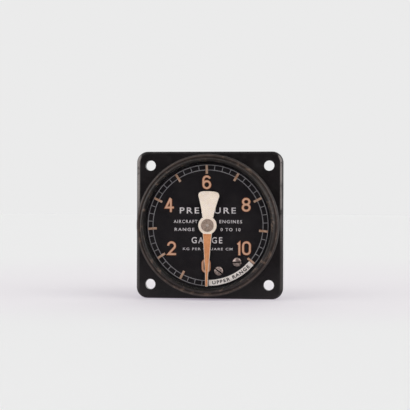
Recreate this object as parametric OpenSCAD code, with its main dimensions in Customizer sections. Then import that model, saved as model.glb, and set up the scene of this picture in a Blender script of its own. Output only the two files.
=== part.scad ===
// Panel pressure gauge. A curved pressure tube turns a pointer through a toothed sector and a
// pinion, in a round moulded case on a square flange, behind a glass held by a bezel ring.
// Each piece is drawn with x to the right, y up and z out of the dial towards the reader, where
// z = 0 is the flange's front face, and place() stands it up with +Z up and the dial facing -Y.

/* [Panel flange] */
// Side of the square flange
flange_w = 60; // [59:0.1:66]
// Thickness of the flange
flange_t = 3; // [2:0.1:4]
// Radius of the flange's corners
flange_corner_r = 4.5; // [3:0.1:6]
// Radius that rounds the flange's front edge
flange_edge_r = 1.2; // [0.4:0.1:1.8]
// Distance of the panel bolts from the flange's sides
bolt_inset = 5.75; // [4.5:0.05:6]
// Diameter of the panel bolt holes
bolt_hole_d = 4.2; // [3.2:0.1:4.5]

/* [Case] */
// Outer radius of the barrel behind the flange
barrel_r = 27.5; // [27:0.1:28]
// Depth of the case behind the flange's front face
barrel_depth = 28; // [27:0.1:36]
// Thickness of the barrel's wall
wall_t = 2.9; // [2.3:0.1:3.2]
// Thickness of the case's back
back_t = 3; // [2.5:0.1:3.5]
// Bevel around the case's back edge
back_bevel = 1.2; // [0.5:0.1:2]
// Wall of the neck around the dial
neck_wall = 1.3; // [1.1:0.1:1.6]
// Height of the dial's seat over the flange's front face
dial_seat = 4.6; // [4:0.1:6]

/* [Dial and glass] */
// Radius of the dial plate
dial_r = 25.7; // [25.6:0.05:26.2]
// Thickness of the dial plate
dial_t = 0.8; // [0.6:0.1:1.2]
// Radial width of the ledge under the dial's edge
dial_ledge = 1.1; // [0.8:0.1:1.4]
// Radius of the hole in the dial's centre
dial_hole_r = 2.2; // [1.5:0.1:2.6]
// How far the glass reaches past the dial's edge
glass_over = 0.4; // [0.3:0.05:0.5]
// Thickness of the glass
glass_t = 1.5; // [1.2:0.1:2.5]
// Thickness of the seal under the glass
gasket_t = 0.9; // [0.6:0.1:1]
// Radial width of the seal under the glass
gasket_w = 0.8; // [0.6:0.1:1.2]
// Radial width of the spacer ring on the dial's edge
spacer_w = 0.6; // [0.5:0.1:1]

/* [Bezel ring] */
// Wall of the ring's skirt around the neck
skirt_t = 1.35; // [1.2:0.05:1.8]
// Depth of the flange's recess that the ring's foot stands in
recess_d = 0.3; // [0.2:0.1:0.6]
// Bevel around the ring's foot
foot_bevel = 0.3; // [0.1:0.05:0.4]
// How far the ring's lip reaches over the glass
lip_over = 0.55; // [0.4:0.05:0.9]
// Radius of the bead around the glass
bead_r = 0.6; // [0.5:0.05:0.7]
// Radius that rounds the ring's outer shoulder
shoulder_r = 0.9; // [0.6:0.05:1.1]
// How far the shoulder lies below the bead's crest
shoulder_drop = 1.5; // [1.1:0.1:2]

/* [Dial screws] */
// Radius of the dial screws' heads
dial_screw_head_r = 1.85; // [1.5:0.05:2]
// Height of the dial screws' heads
dial_screw_head_h = 0.7; // [0.5:0.05:0.7]
// Length of the dial screws under the head
dial_screw_len = 3.8; // [2.5:0.1:4]
// Radius of the dial screws' shanks
dial_screw_r = 1; // [0.8:0.05:1.1]
// Distance of the dial screws from the dial's centre
dial_screw_ring = 18.9; // [18.5:0.1:19.3]

/* [Pointer] */
// Length of the pointer from its hub to its tip
pointer_len = 24.6; // [20:0.1:24.8]
// Length of the pointer's tail
tail_len = 13.7; // [10:0.1:15]
// Greatest width of the tail
tail_w = 8.4; // [6:0.1:10]
// Width of the tail where it leaves the hub
neck_w = 4.5; // [3.5:0.1:5.5]
// Width of the pointer's blade beside the hub
blade_w = 3.6; // [2.5:0.1:4.5]
// Width of the blade at its tip
tip_w = 1.2; // [0.8:0.1:2]
// Thickness of the pointer
pointer_t = 0.5; // [0.4:0.05:0.8]
// Gap between the dial and the pointer
pointer_gap = 0.9; // [0.9:0.05:1.4]
// Radius of the pointer's round hub
hub_r = 3.8; // [3.2:0.1:4.5]
// Radius of the turned cap on the hub
cap_r = 2.55; // [2:0.05:3]
// Height of the turned cap
cap_t = 0.4; // [0.3:0.05:0.6]
// Thickness of the luminous paint on the blade
lume_t = 0.12; // [0.08:0.02:0.2]
// White edge left beside the luminous paint
lume_edge = 0.28; // [0.2:0.02:0.4]
// Angle of the resting pointer, clockwise from straight down
rest_angle = 1.2; // [0:0.1:3]
// Angle that the pointer turns through
pointer_travel = 344; // [300:1:344]

/* [Movement] */
// Radius of the two movement plates
plate_r = 13; // [12.6:0.1:14]
// Thickness of the movement plates
plate_t = 1.2; // [1:0.1:1.6]
// Space between the movement plates
plate_space = 6; // [6:0.1:7]
// Gap between the front plate and the dial
plate_gap = 2.8; // [1.6:0.1:3.2]
// Radius of the movement's pillars
pillar_r = 1.6; // [1.4:0.1:1.8]
// Distance of the pillars from the pointer's axis
pillar_ring = 11; // [10.6:0.1:11.2]
// Distance of the movement's fixing screws from the pointer's axis
fixing_ring = 8; // [7.8:0.1:8.1]
// Size of the teeth, as pitch diameter over tooth count
tooth_module = 0.2; // [0.18:0.01:0.2]
// Teeth on the pinion
pinion_teeth = 12; // [12:1:12]
// Teeth on a full circle of the sector
sector_full = 96; // [96:1:96]
// Teeth on the sector
sector_teeth = 15; // [15:1:16]
// Thickness of the sector
sector_t = 1.4; // [1:0.1:1.4]
// Radius of both arbors
arbor_r = 0.6; // [0.5:0.05:0.65]
// Radius of the arbors' pivots
pivot_r = 0.4; // [0.3:0.05:0.45]
// Length of the sector's tail from its pivot to the link
tail_arm = 3.6; // [3.4:0.1:3.8]
// Length of the link between its two eyes
link_len = 9; // [8.8:0.1:9.4]
// Thickness of the link
link_t = 0.8; // [0.6:0.1:0.8]
// Radius of the link's pins
link_pin_r = 0.5; // [0.4:0.05:0.55]
// Turns of the hairspring
hair_turns = 5; // [3:1:6]
// Thickness of the hairspring's strip
hair_t = 0.14; // [0.1:0.02:0.18]

/* [Pressure tube and socket] */
// Radius of the tube's curved centre line
tube_ring = 18.6; // [18.3:0.1:19]
// Width of the flattened tube along the axis
tube_w = 10; // [8:0.1:10.4]
// Depth of the flattened tube
tube_d = 3; // [2.4:0.1:3.4]
// Wall of the tube
tube_wall = 0.4; // [0.3:0.05:0.6]
// Radius of the socket's column
column_r = 6; // [5:0.1:7]
// Radius of the socket's foot
foot_r = 13.5; // [13.2:0.1:14.5]
// Thickness of the socket's foot
foot_t = 3; // [2.5:0.1:3.5]
// Thickness of the seal between the foot and the case
foot_gasket_t = 0.5; // [0.3:0.1:0.8]
// Radius of the drilled pressure passages
passage_r = 0.9; // [0.6:0.1:1.1]
// Distance of the back screws from the axis
back_screw_ring = 11; // [10.8:0.1:11.2]

/* [Union] */
// Outer radius of the pipe thread
thread_r = 4.86; // [4:0.01:5]
// Pitch of the pipe thread
thread_pitch = 0.907; // [0.8:0.001:1.2]
// Length of the pipe thread
thread_len = 10; // [8:0.1:14]
// Width of the union's hexagon across its flats
hex_af = 14; // [13:0.1:14.4]
// Length of the union's hexagon
hex_len = 5; // [4:0.1:7]
// Radius of the union's bore
bore_r = 2; // [1.5:0.1:2.4]

/* [Hidden] */

$fn = 96;
// Clearances: seated pieces, running pivots, plain holes, and free space beside moving pieces
seat_gap = 0.05;
run_gap = 0.03;
hole_gap = 0.1;
free_gap = 0.3;

// Radial stack of the case's front
bolt_pitch = flange_w - 2 * bolt_inset;
cavity_r = barrel_r - wall_t;
ledge_r = dial_r - dial_ledge;
pocket_r = dial_r + 2 * hole_gap;
neck_r = pocket_r + neck_wall;
skirt_r = neck_r + seat_gap;
bezel_r = skirt_r + skirt_t;
glass_r = dial_r + glass_over;
glass_pocket_r = glass_r + hole_gap;
lip_r = glass_r - lip_over;

// Axial stack from the dial's seat to the bead's crest
dial_z = dial_seat + dial_t;
pointer_z = dial_z + pointer_gap;
pointer_top = pointer_z + pointer_t;
arbor_top = pointer_top + cap_t + 0.15;
glass_z = arbor_top + 0.25;
neck_top = glass_z - gasket_t;
glass_top = glass_z + glass_t;
bead_z = glass_top + 0.2;
bead_top = bead_z + bead_r;
skirt_foot = hole_gap - recess_d;

// Axial stack of the movement, from the dial back to the case's back
front_plate_top = dial_seat - plate_gap;
front_plate_z = front_plate_top - plate_t;
back_plate_top = front_plate_z - plate_space;
back_plate_z = back_plate_top - plate_t;
spool_t = 3;
spool_z = back_plate_z - spool_t;
floor_z = back_t - barrel_depth;
foot_z = floor_z + foot_gasket_t;
hair_z = back_plate_top + 0.6;
hair_h = 0.8;
pinion_z = back_plate_top + 1.8;
pinion_h = 3;
sector_z = pinion_z + 0.8;
link_z = sector_z + sector_t + 0.2;
link_top = link_z + link_t;
pin_head_t = 0.35;
tube_z = back_plate_top + 1.4;

// Gearing: the sector turns once for eight turns of the pinion
ratio = sector_full / pinion_teeth;
sector_travel = pointer_travel / ratio;
pinion_pitch_r = tooth_module * pinion_teeth / 2;
sector_pitch_r = tooth_module * sector_full / 2;
pivot_angle = 8.6;
pivot = polar(pinion_pitch_r + sector_pitch_r, pivot_angle);
sector_hub_r = 2.2;
rim_w = 1.3;

// Linkage: the tube's tip moves along slide_angle, square to the tail at half travel
slide_angle = 80;
half_travel = sector_travel / 2;
tail_mid = slide_angle - 90;
tail_eye = pivot + polar(tail_arm, tail_mid - half_travel);
tail_side = tail_arm * (1 + cos(half_travel)) / 2;
tip_eye = pivot + polar(tail_side, tail_mid)
    + polar(link_len - tail_arm * sin(half_travel), slide_angle);
open_gap = 0.2;
eye_r = 1.3;

// Socket: the spool, the arm and the post that the tube leaves
spool_r = plate_r - 3;
arm_w = 8;
arm_drop = 3;
post_wall_in = 0.9;
post_wall_out = 1.7;

// Tube: it leaves its post clockwise past the bottom, the left side and the top
post_start = -85;
post_end = -44;
post_in = tube_ring - tube_d / 2 - post_wall_in;
post_out = tube_ring + tube_d / 2 + post_wall_out;
arm_angle = -64;
tube_root = -74;
tube_end = 39 - 360;
dial_screw_angles = [-51.1, -76.2];
dial_screw_turns = [4, -35];
back_screw_angles = [30, 150, 270];
pillar_angles = [120, 210, 285];
fixing_angles = [85, 170, 265];
window_in = 4;
window_out = 8.4;
stop_ring = 7;
stop_r = 0.6;
stud_ring = 5.9;
stud_angle = 150;

// Union: washer, hexagon, thread and the stud that enters the socket
washer_t = 1;
stud_r = 4;
stud_len = 7;
washer_z = -barrel_depth - washer_t;
hex_z = washer_z - hex_len;
thread_z = hex_z - thread_len;
thread_depth = 0.64 * thread_pitch;

// Screws and the drilled passages
back_screw_r = 1.2;
back_head_r = 2.1;
back_head_h = 1.4;
fixing_r = 0.8;
fixing_head_r = 1.4;
fixing_head_h = 0.8;
fixing_grip = 2.5;
fixing_bore = 2.8;
cross_rise = 2.5;
cross_z = foot_z + foot_t + cross_rise;
plug_len = 2.5;
plug_r = passage_r + 0.3;
drill_step = 0.15;
inlet_r = passage_r + 2 * drill_step;
riser_r = passage_r - drill_step;

// Ends of the toothed rim, so that a gap faces the pinion at rest
sector_first = 180 + pivot_angle - (sector_teeth - 2) * 360 / sector_full;
sector_last = sector_first + sector_teeth * 360 / sector_full;

// Tip block, hairspring and the pointer's tail
tip_angle = atan2(tip_eye[1], tip_eye[0]);
block_top = link_z - free_gap;
block_drop = 3;
block_lip = 1;
tip_bore = 2.5;
cap_angle = 2.8;
cap_grow = 0.25;
collet_r = 1.5;
hair_steps = hair_turns * 24;
hair_out = stud_ring - stop_r - hair_t;
tail_wide_y = tail_len - 2;
tail_corner = 1.5;

function polar(r, a) = [r * cos(a), r * sin(a)];
function arc(c, r, a, b, n) = [for (i = [0:n]) c + polar(r, a + (b - a) * i / n)];

// Stands a piece up, so that the dial faces -Y
module place() rotate([90, 0, 0]) children();

module disc(r, z, h) translate([0, 0, z]) cylinder(r = r, h = h);

module ring(r_out, r_in, z, h) difference() {
    disc(r_out, z, h);
    disc(r_in, z - 1, h + 2);
}

module at_polar(r, a) translate(concat(polar(r, a), 0)) children();

// A solid bent around the axis from angle a to angle b, from a flat section of radius and height
module bent(a, b) rotate([0, 0, min(a, b)]) rotate_extrude(angle = abs(b - a)) children();

module slotted_head(r, z, h, slot_w, slot_d, turn) difference() {
    translate([0, 0, z]) rotate_extrude()
        polygon([[0, 0], [r, 0], [r, h * 0.6], [r * 0.9, h * 0.85], [r * 0.6, h], [0, h]]);
    rotate([0, 0, turn]) translate([-r - 1, -slot_w / 2, z + h - slot_d])
        cube([2 * r + 2, slot_w, h]);
}

module flange_blank() hull()
    for (x = [-1, 1], y = [-1, 1])
        translate([x * (flange_w / 2 - flange_corner_r), y * (flange_w / 2 - flange_corner_r), 0])
            rotate_extrude($fn = 32)
                polygon(concat([[0, -flange_t], [flange_corner_r, -flange_t]],
                    arc([flange_corner_r - flange_edge_r, -flange_edge_r], flange_edge_r, 0, 90, 5),
                    [[0, 0]]));

module case() color([0.1, 0.09, 0.1]) place() difference() {
    union() {
        flange_blank();
        translate([0, 0, -barrel_depth]) rotate_extrude()
            polygon([[0, 0], [barrel_r - back_bevel, 0], [barrel_r, back_bevel],
                [barrel_r, barrel_depth - flange_t / 2], [0, barrel_depth - flange_t / 2]]);
        disc(neck_r, -flange_t / 2, neck_top + flange_t / 2);
    }
    ring(bezel_r + seat_gap, neck_r, -recess_d, recess_d + 0.5);
    disc(cavity_r, floor_z, -flange_t / 2 - floor_z);
    disc(ledge_r, -flange_t / 2, dial_seat + flange_t / 2 + 1);
    disc(pocket_r, dial_seat, neck_top);
    disc(stud_r + hole_gap, -barrel_depth - 1, back_t + 2);
    for (a = back_screw_angles)
        at_polar(back_screw_ring, a) disc(back_screw_r + hole_gap, -barrel_depth - 1, back_t + 2);
    for (x = [-1, 1], y = [-1, 1])
        translate([x * bolt_pitch / 2, y * bolt_pitch / 2, -flange_t - 1])
            cylinder(d = bolt_hole_d, h = flange_t + 2);
}

module bezel_ring() color([0.2, 0.17, 0.16]) place() rotate_extrude() {
    shoulder_z = bead_top - shoulder_drop - shoulder_r;
    bead_c = [lip_r + bead_r, bead_z];
    polygon(concat(
        [[skirt_r, skirt_foot], [bezel_r - foot_bevel, skirt_foot],
            [bezel_r, skirt_foot + foot_bevel]],
        arc([bezel_r - shoulder_r, shoulder_z], shoulder_r, 0, 135, 9),
        arc(bead_c, bead_r, 0, 180, 12),
        [[lip_r, glass_top], [glass_pocket_r, glass_top], [glass_pocket_r, neck_top + hole_gap],
            [skirt_r, neck_top + hole_gap]]));
}

module glass() color([0.8, 0.85, 0.85, 0.3]) place() disc(glass_r, glass_z, glass_t);

module glass_gasket() color([0.08, 0.08, 0.08]) place()
    ring(glass_r, glass_r - gasket_w, neck_top, gasket_t);

module spacer_ring() color([0.12, 0.11, 0.11]) place()
    ring(dial_r + hole_gap, dial_r + hole_gap - spacer_w, dial_z, neck_top - dial_z);

module dial_plate() color([0.14, 0.13, 0.14]) place() difference() {
    disc(dial_r, dial_seat, dial_t);
    disc(dial_hole_r, dial_seat - 1, dial_t + 2);
    for (a = dial_screw_angles)
        at_polar(dial_screw_ring, a) disc(dial_screw_r + hole_gap, dial_seat - 1, dial_t + 2);
}

module dial_screws() color([0.6, 0.57, 0.53]) place()
    for (i = [0:1])
        at_polar(dial_screw_ring, dial_screw_angles[i]) {
            slotted_head(dial_screw_head_r, dial_z, dial_screw_head_h, 0.5, 0.35,
                dial_screw_turns[i]);
            disc(dial_screw_r, dial_z - dial_screw_len, dial_screw_len + 0.1);
        }

// Flat-sided outline of the tube, grown by g on every side
module tube_section(g) polygon(concat(
    arc([tube_ring, tube_z + tube_w / 2 - tube_d / 2], tube_d / 2 + g, 0, 180, 12),
    arc([tube_ring, tube_z - tube_w / 2 + tube_d / 2], tube_d / 2 + g, 180, 360, 12)));

module bourdon_tube() color([0.72, 0.58, 0.32]) place() bent(tube_root, tube_end)
    difference() {
        tube_section(0);
        tube_section(-tube_wall);
    }

module socket_block() color([0.7, 0.56, 0.3]) place() difference() {
    union() {
        disc(spool_r, spool_z, spool_t);
        disc(column_r, foot_z + 1, spool_z - foot_z);
        disc(foot_r, foot_z, foot_t);
        rotate([0, 0, arm_angle]) translate([0, -arm_w / 2, foot_z + 1])
            cube([tube_ring, arm_w, spool_z - foot_z - arm_drop]);
        bent(post_start, post_end) polygon([[post_in, foot_z + 1], [post_out, foot_z + 1],
            [post_out, dial_seat], [post_in, dial_seat]]);
    }
    bent(tube_root + 0.6, post_start - 5) tube_section(seat_gap);
    disc(stud_r + seat_gap, foot_z - 1, stud_len + 1 - (foot_z + barrel_depth) + 0.3);
    disc(inlet_r, foot_z, cross_z - foot_z + passage_r + drill_step);
    rotate([0, 0, arm_angle]) {
        translate([0, 0, cross_z]) rotate([0, 90, 0]) cylinder(r = passage_r, h = post_out + 1);
        translate([post_out - plug_len, 0, cross_z]) rotate([0, 90, 0])
            cylinder(r = plug_r + run_gap, h = plug_len + 1);
        translate([tube_ring, 0, cross_z])
            cylinder(r = riser_r, h = tube_z - cross_z + passage_r);
    }
    at_polar(tube_ring, arm_angle) translate([0, 0, tube_z]) rotate([0, 90, arm_angle - 95])
        cylinder(r = riser_r - drill_step, h = tube_ring * sin(arm_angle - tube_root) + 0.3);
    for (a = dial_screw_angles)
        at_polar(dial_screw_ring, a)
            disc(dial_screw_r + seat_gap, dial_z - dial_screw_len - 0.2, dial_screw_len + 1);
    for (a = back_screw_angles)
        at_polar(back_screw_ring, a) disc(back_screw_r + seat_gap, foot_z - 1, foot_t + 2);
    for (a = fixing_angles)
        at_polar(fixing_ring, a) disc(fixing_r + seat_gap, spool_z - 1, spool_t + 2);
}

module passage_plug() color([0.66, 0.52, 0.28]) place() rotate([0, 0, arm_angle])
    translate([post_out - plug_len, 0, cross_z]) rotate([0, 90, 0])
        cylinder(r = plug_r, h = plug_len - 0.2);

module socket_gasket() color([0.55, 0.35, 0.25]) place() difference() {
    ring(foot_r, stud_r + hole_gap, floor_z, foot_gasket_t);
    for (a = back_screw_angles)
        at_polar(back_screw_ring, a)
            disc(back_screw_r + hole_gap, floor_z - 1, foot_gasket_t + 2);
}

module back_screws() color([0.62, 0.6, 0.56]) place()
    for (a = back_screw_angles)
        at_polar(back_screw_ring, a) rotate([180, 0, 0]) {
            slotted_head(back_head_r, barrel_depth, back_head_h, 0.6, 0.6, a);
            disc(back_screw_r, -foot_z - foot_t + 0.3, barrel_depth + foot_z + foot_t - 0.2);
        }

// Rows of the thread: flat crests at thread_r, with a groove between each pair
module union_nipple() color([0.74, 0.6, 0.34]) place() {
    turns = floor((thread_len - 2) / thread_pitch);
    crest = thread_pitch * 0.2;
    difference() {
        union() {
            rotate_extrude() polygon(concat(
                [[0, thread_z], [thread_r - 0.8, thread_z], [thread_r, thread_z + 0.8]],
                [for (i = [0:turns - 1], k = [0:3])
                    let (z = thread_z + 1 + i * thread_pitch)
                    k == 0 ? [thread_r, z]
                        : k == 1 ? [thread_r - thread_depth, z + (thread_pitch - crest) * 0.4]
                        : k == 2 ? [thread_r - thread_depth, z + (thread_pitch - crest) * 0.6]
                        : [thread_r, z + thread_pitch - crest]],
                [[thread_r, hex_z], [thread_r, washer_z - 1], [stud_r, washer_z - 1],
                    [stud_r, washer_z + washer_t + stud_len], [0, washer_z + washer_t + stud_len]]));
            intersection() {
                translate([0, 0, hex_z]) rotate([0, 0, 30])
                    cylinder(r = hex_af / sqrt(3), h = hex_len, $fn = 6);
                translate([0, 0, hex_z]) rotate_extrude()
                    polygon([[0, 0], [hex_af / 2 - 0.2, 0], [hex_af / sqrt(3), 0.6],
                        [hex_af / sqrt(3), hex_len - 0.6], [hex_af / 2 - 0.2, hex_len],
                        [0, hex_len]]);
            }
        }
        disc(bore_r, thread_z - 1, thread_len + hex_len + washer_t + stud_len + 3);
    }
}

module union_washer() color([0.6, 0.3, 0.2]) place()
    ring(hex_af / 2 - 0.1, stud_r + hole_gap, washer_z, washer_t);

module restrictor_screw() color([0.7, 0.66, 0.6]) place() difference() {
    disc(bore_r - run_gap, washer_z + 1, 3);
    disc(0.25, washer_z, 5);
    translate([-bore_r, -0.25, washer_z + 0.5]) cube([2 * bore_r, 0.5, 1.1]);
}

module movement_back_plate() color([0.76, 0.63, 0.36]) place() difference() {
    disc(plate_r, back_plate_z, plate_t);
    disc(pivot_r + run_gap, back_plate_z - 1, plate_t + 2);
    translate(pivot) disc(pivot_r + run_gap, back_plate_z - 1, plate_t + 2);
    for (a = fixing_angles)
        at_polar(fixing_ring, a) disc(fixing_r + hole_gap, back_plate_z - 1, plate_t + 2);
    for (a = pillar_angles)
        at_polar(pillar_ring, a) disc(pillar_r * 0.6 + seat_gap, back_plate_z - 1, plate_t + 2);
    at_polar(stud_ring, stud_angle) disc(0.4 + seat_gap, back_plate_z - 1, plate_t + 2);
    stop_place() disc(0.4 + seat_gap, back_plate_z - 1, plate_t + 2);
}

module movement_front_plate() color([0.78, 0.65, 0.38]) place() difference() {
    disc(plate_r, front_plate_z, plate_t);
    disc(arbor_r + run_gap, front_plate_z - 1, plate_t + 2);
    translate(pivot) disc(pivot_r + run_gap, front_plate_z - 1, plate_t + 2);
    for (a = pillar_angles)
        at_polar(pillar_ring, a) disc(fixing_r + hole_gap, front_plate_z - 1, plate_t + 2);
    bent(20, 110) polygon([[window_in, front_plate_z - 1], [window_out, front_plate_z - 1],
        [window_out, front_plate_top + 1], [window_in, front_plate_top + 1]]);
}

module movement_pillars() color([0.74, 0.6, 0.33]) place()
    for (a = pillar_angles)
        at_polar(pillar_ring, a) difference() {
            union() {
                disc(pillar_r, back_plate_top, plate_space);
                disc(pillar_r * 0.6, back_plate_z, plate_t + 0.1);
            }
            disc(fixing_r + seat_gap, front_plate_z - fixing_bore, fixing_bore + plate_t);
        }

module front_plate_screws() color([0.62, 0.6, 0.56]) place()
    for (a = pillar_angles)
        at_polar(pillar_ring, a) {
            slotted_head(fixing_head_r, front_plate_top, fixing_head_h, 0.4, 0.35, a * 2);
            disc(fixing_r, front_plate_z - fixing_grip, plate_t + fixing_grip + 0.1);
        }

module back_plate_screws() color([0.62, 0.6, 0.56]) place()
    for (a = fixing_angles)
        at_polar(fixing_ring, a) {
            slotted_head(fixing_head_r, back_plate_top, fixing_head_h, 0.4, 0.35, a);
            disc(fixing_r, spool_z + 0.5, spool_t + plate_t - 0.4);
        }

// The stop stands against the sector's upper edge when the gauge reads zero
module stop_place() translate(pivot)
    at_polar(stop_ring, sector_first - 0.4 - asin((stop_r + seat_gap) / stop_ring)) children();

module sector_stop_pin() color([0.62, 0.6, 0.56]) place() stop_place() {
    disc(stop_r, back_plate_top, sector_z + sector_t - back_plate_top);
    disc(0.4, back_plate_z, plate_t + 0.1);
}

module hairspring_stud() color([0.74, 0.6, 0.33]) place() at_polar(stud_ring, stud_angle) {
    disc(0.6, back_plate_top, hair_z + hair_h + 0.4 - back_plate_top);
    disc(0.4, back_plate_z, plate_t + 0.1);
}

module hairspring_collet() color([0.74, 0.6, 0.33]) place()
    ring(collet_r, arbor_r + seat_gap / 2, hair_z - 0.2, hair_h + 0.4);

// A flat spiral strip from the collet to the stud
function hair_point(i, side) = polar(
    collet_r + (hair_out - collet_r) * i / hair_steps + side,
    stud_angle - 360 * hair_turns * (1 - i / hair_steps));

module hairspring() color([0.55, 0.52, 0.6]) place()
    translate([0, 0, hair_z]) linear_extrude(height = hair_h)
        polygon(concat([for (i = [0:hair_steps]) hair_point(i, 0)],
            [for (i = [hair_steps:-1:0]) hair_point(i, hair_t)]));

module pointer_arbor() color([0.75, 0.74, 0.7]) place() {
    disc(pivot_r, back_plate_z + 0.1, plate_t + 0.2);
    disc(arbor_r, back_plate_top + 0.15, arbor_top - back_plate_top - 0.15);
}

// One tooth's outline about the angle a: half widths at root, pitch line and tip
function tooth(pitch_r, a, root, add, root_w, pitch_w, tip_w) = let (
        r0 = pitch_r - root, r1 = pitch_r, r2 = pitch_r + add)
    [polar(r0, a - asin(root_w / r0)), polar(r1, a - asin(pitch_w / r1)),
        polar(r2, a - asin(tip_w / r2)), polar(r2, a + asin(tip_w / r2)),
        polar(r1, a + asin(pitch_w / r1)), polar(r0, a + asin(root_w / r0))];

module pinion() color([0.76, 0.74, 0.7]) place() translate([0, 0, pinion_z]) difference() {
    linear_extrude(height = pinion_h) polygon([for (i = [0:pinion_teeth - 1])
        each tooth(pinion_pitch_r, pivot_angle + i * 360 / pinion_teeth, 1.2 * tooth_module,
            0.95 * tooth_module, 0.8 * tooth_module, 0.6 * tooth_module, 0.25 * tooth_module)]);
    translate([0, 0, -1]) cylinder(r = arbor_r + seat_gap / 5, h = pinion_h + 2);
}

module sector_gear() color([0.78, 0.64, 0.36]) place() translate([0, 0, sector_z]) {
    step = 360 / sector_full;
    rim_in = sector_pitch_r - rim_w;
    mid = (sector_first + sector_last) / 2;
    half = (sector_last - sector_first) / 2;
    translate(pivot) difference() {
        union() {
            linear_extrude(height = sector_t) polygon(concat([[0, 0]],
                [for (i = [0:sector_teeth - 1])
                    each tooth(sector_pitch_r, sector_first + (i + 0.5) * step,
                        1.25 * tooth_module, 0.85 * tooth_module, 0.85 * tooth_module,
                        0.62 * tooth_module, 0.35 * tooth_module)]));
            cylinder(r = sector_hub_r, h = sector_t);
            rotate([0, 0, tail_mid - half_travel]) translate([0, -eye_r, 0])
                cube([tail_arm, 2 * eye_r, sector_t]);
            translate(polar(tail_arm, tail_mid - half_travel)) cylinder(r = eye_r, h = sector_t);
        }
        translate([0, 0, -1]) cylinder(r = arbor_r + seat_gap / 2, h = sector_t + 2);
        translate(concat(polar(tail_arm, tail_mid - half_travel), -1))
            cylinder(r = link_pin_r + seat_gap / 2, h = sector_t + 2);
        translate([0, 0, -1]) linear_extrude(height = sector_t + 2)
            polygon(concat(arc([0, 0], rim_in, mid - half * 0.72, mid + half * 0.72, 12),
                arc([0, 0], sector_hub_r + 1.3, mid + half * 0.45, mid - half * 0.45, 6)));
    }
}

module sector_arbor() color([0.75, 0.74, 0.7]) place() translate(pivot) {
    disc(pivot_r, back_plate_z + 0.1, front_plate_top - back_plate_z - 0.2);
    disc(arbor_r, back_plate_top + 0.15, plate_space - 0.3);
}

module headed_pin(c, z, gap) translate(c) {
    disc(link_pin_r, z, link_top + 0.1 - z);
    disc(link_pin_r + gap + 0.3, link_top + 0.1, pin_head_t);
}

module tail_pin() color([0.75, 0.74, 0.7]) place() headed_pin(tail_eye, sector_z, 0.1);

// The link keeps its direction, so its upper eye runs beside the tip's pin with open_gap
module link() color([0.77, 0.63, 0.35]) place() translate([tail_eye[0], tail_eye[1], link_z])
    rotate([0, 0, slide_angle]) difference() {
        union() {
            cylinder(r = eye_r, h = link_t);
            translate([link_len, 0, 0]) cylinder(r = eye_r, h = link_t);
            translate([0, -eye_r * 0.6, 0]) cube([link_len, eye_r * 1.2, link_t]);
        }
        translate([0, 0, -1]) cylinder(r = link_pin_r + run_gap, h = link_t + 2);
        translate([link_len, 0, -1]) cylinder(r = link_pin_r + open_gap, h = link_t + 2);
    }

module tip_block() color([0.73, 0.59, 0.33]) place() difference() {
    union() {
        bent(tube_end + 360 - cap_angle, tube_end + 360 - 0.15) tube_section(cap_grow);
        bent(tip_angle - 5, tube_end + 360 - cap_angle / 2)
            polygon([[post_in, tube_z - block_drop], [tube_ring + block_lip, tube_z - block_drop],
                [tube_ring + block_lip, block_top], [post_in, block_top]]);
    }
    translate(tip_eye) disc(link_pin_r + seat_gap / 2, block_top - tip_bore, tip_bore + 1);
}

module tip_pin() color([0.75, 0.74, 0.7]) place()
    headed_pin(tip_eye, block_top - tip_bore + 0.2, open_gap);

module hub_boss() color([0.55, 0.49, 0.45]) place() difference() {
    union() {
        disc(cap_r, dial_z + 0.35, pointer_z - dial_z - 0.35);
        disc(cap_r * 0.65, pointer_z - 0.1, pointer_t + 0.2);
        translate([0, 0, pointer_top]) rotate_extrude()
            polygon([[0, 0], [cap_r, 0], [cap_r, cap_t * 0.6], [cap_r - 0.15, cap_t], [0, cap_t]]);
    }
    disc(arbor_r + seat_gap / 5, dial_z, arbor_top);
}

// Half width of the tail at the height y over the hub
function tail_half(y) = neck_w / 2
    + (tail_w - neck_w) / 2 * pow(max(0, (y - hub_r) / (tail_wide_y - hub_r)), 1.23);

// Right-hand side of the tail, from the hub to the middle of its slightly domed end
function tail_side_points() = concat(
    [for (i = [0:8]) let (y = hub_r * 0.9 + (tail_wide_y - hub_r * 0.9) * i / 8) [tail_half(y), y]],
    arc([tail_w / 2 - tail_corner, tail_len - 0.45 - tail_corner], tail_corner, 0, 75, 6),
    [[tail_w / 4, tail_len - 0.12], [0, tail_len]]);

// Right-hand side of the blade, from its tip up to the hub, drawn in by e
function blade_side(e) = [[0, -pointer_len + e * 1.6], [tip_w / 2 - e * 0.6, -pointer_len + e * 1.6],
    [tip_w / 2 + 0.05 - e, -pointer_len * 0.8], [blade_w / 2 * 0.7 - e, -pointer_len * 0.53],
    [blade_w / 2 * 0.84 - e, -pointer_len * 0.36], [blade_w / 2 - e, -hub_r * 0.9]];

function mirrored(half) =
    concat(half, [for (i = [len(half) - 1:-1:0]) [-half[i][0], half[i][1]]]);

module pointer_blade() color([0.87, 0.79, 0.72]) place() rotate([0, 0, -rest_angle])
    translate([0, 0, pointer_z]) difference() {
        union() {
            linear_extrude(height = pointer_t) polygon(mirrored(tail_side_points()));
            linear_extrude(height = pointer_t) polygon(mirrored(blade_side(0)));
            cylinder(r = hub_r, h = pointer_t);
        }
        translate([0, 0, -1]) cylinder(r = cap_r * 0.65 + seat_gap / 2, h = pointer_t + 2);
    }

module pointer_lume() color([0.76, 0.5, 0.33]) place() rotate([0, 0, -rest_angle])
    translate([0, 0, pointer_top]) difference() {
        linear_extrude(height = lume_t) polygon(mirrored(blade_side(lume_edge)));
        translate([0, 0, -1]) cylinder(r = hub_r + 0.1, h = lume_t + 2);
    }

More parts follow.
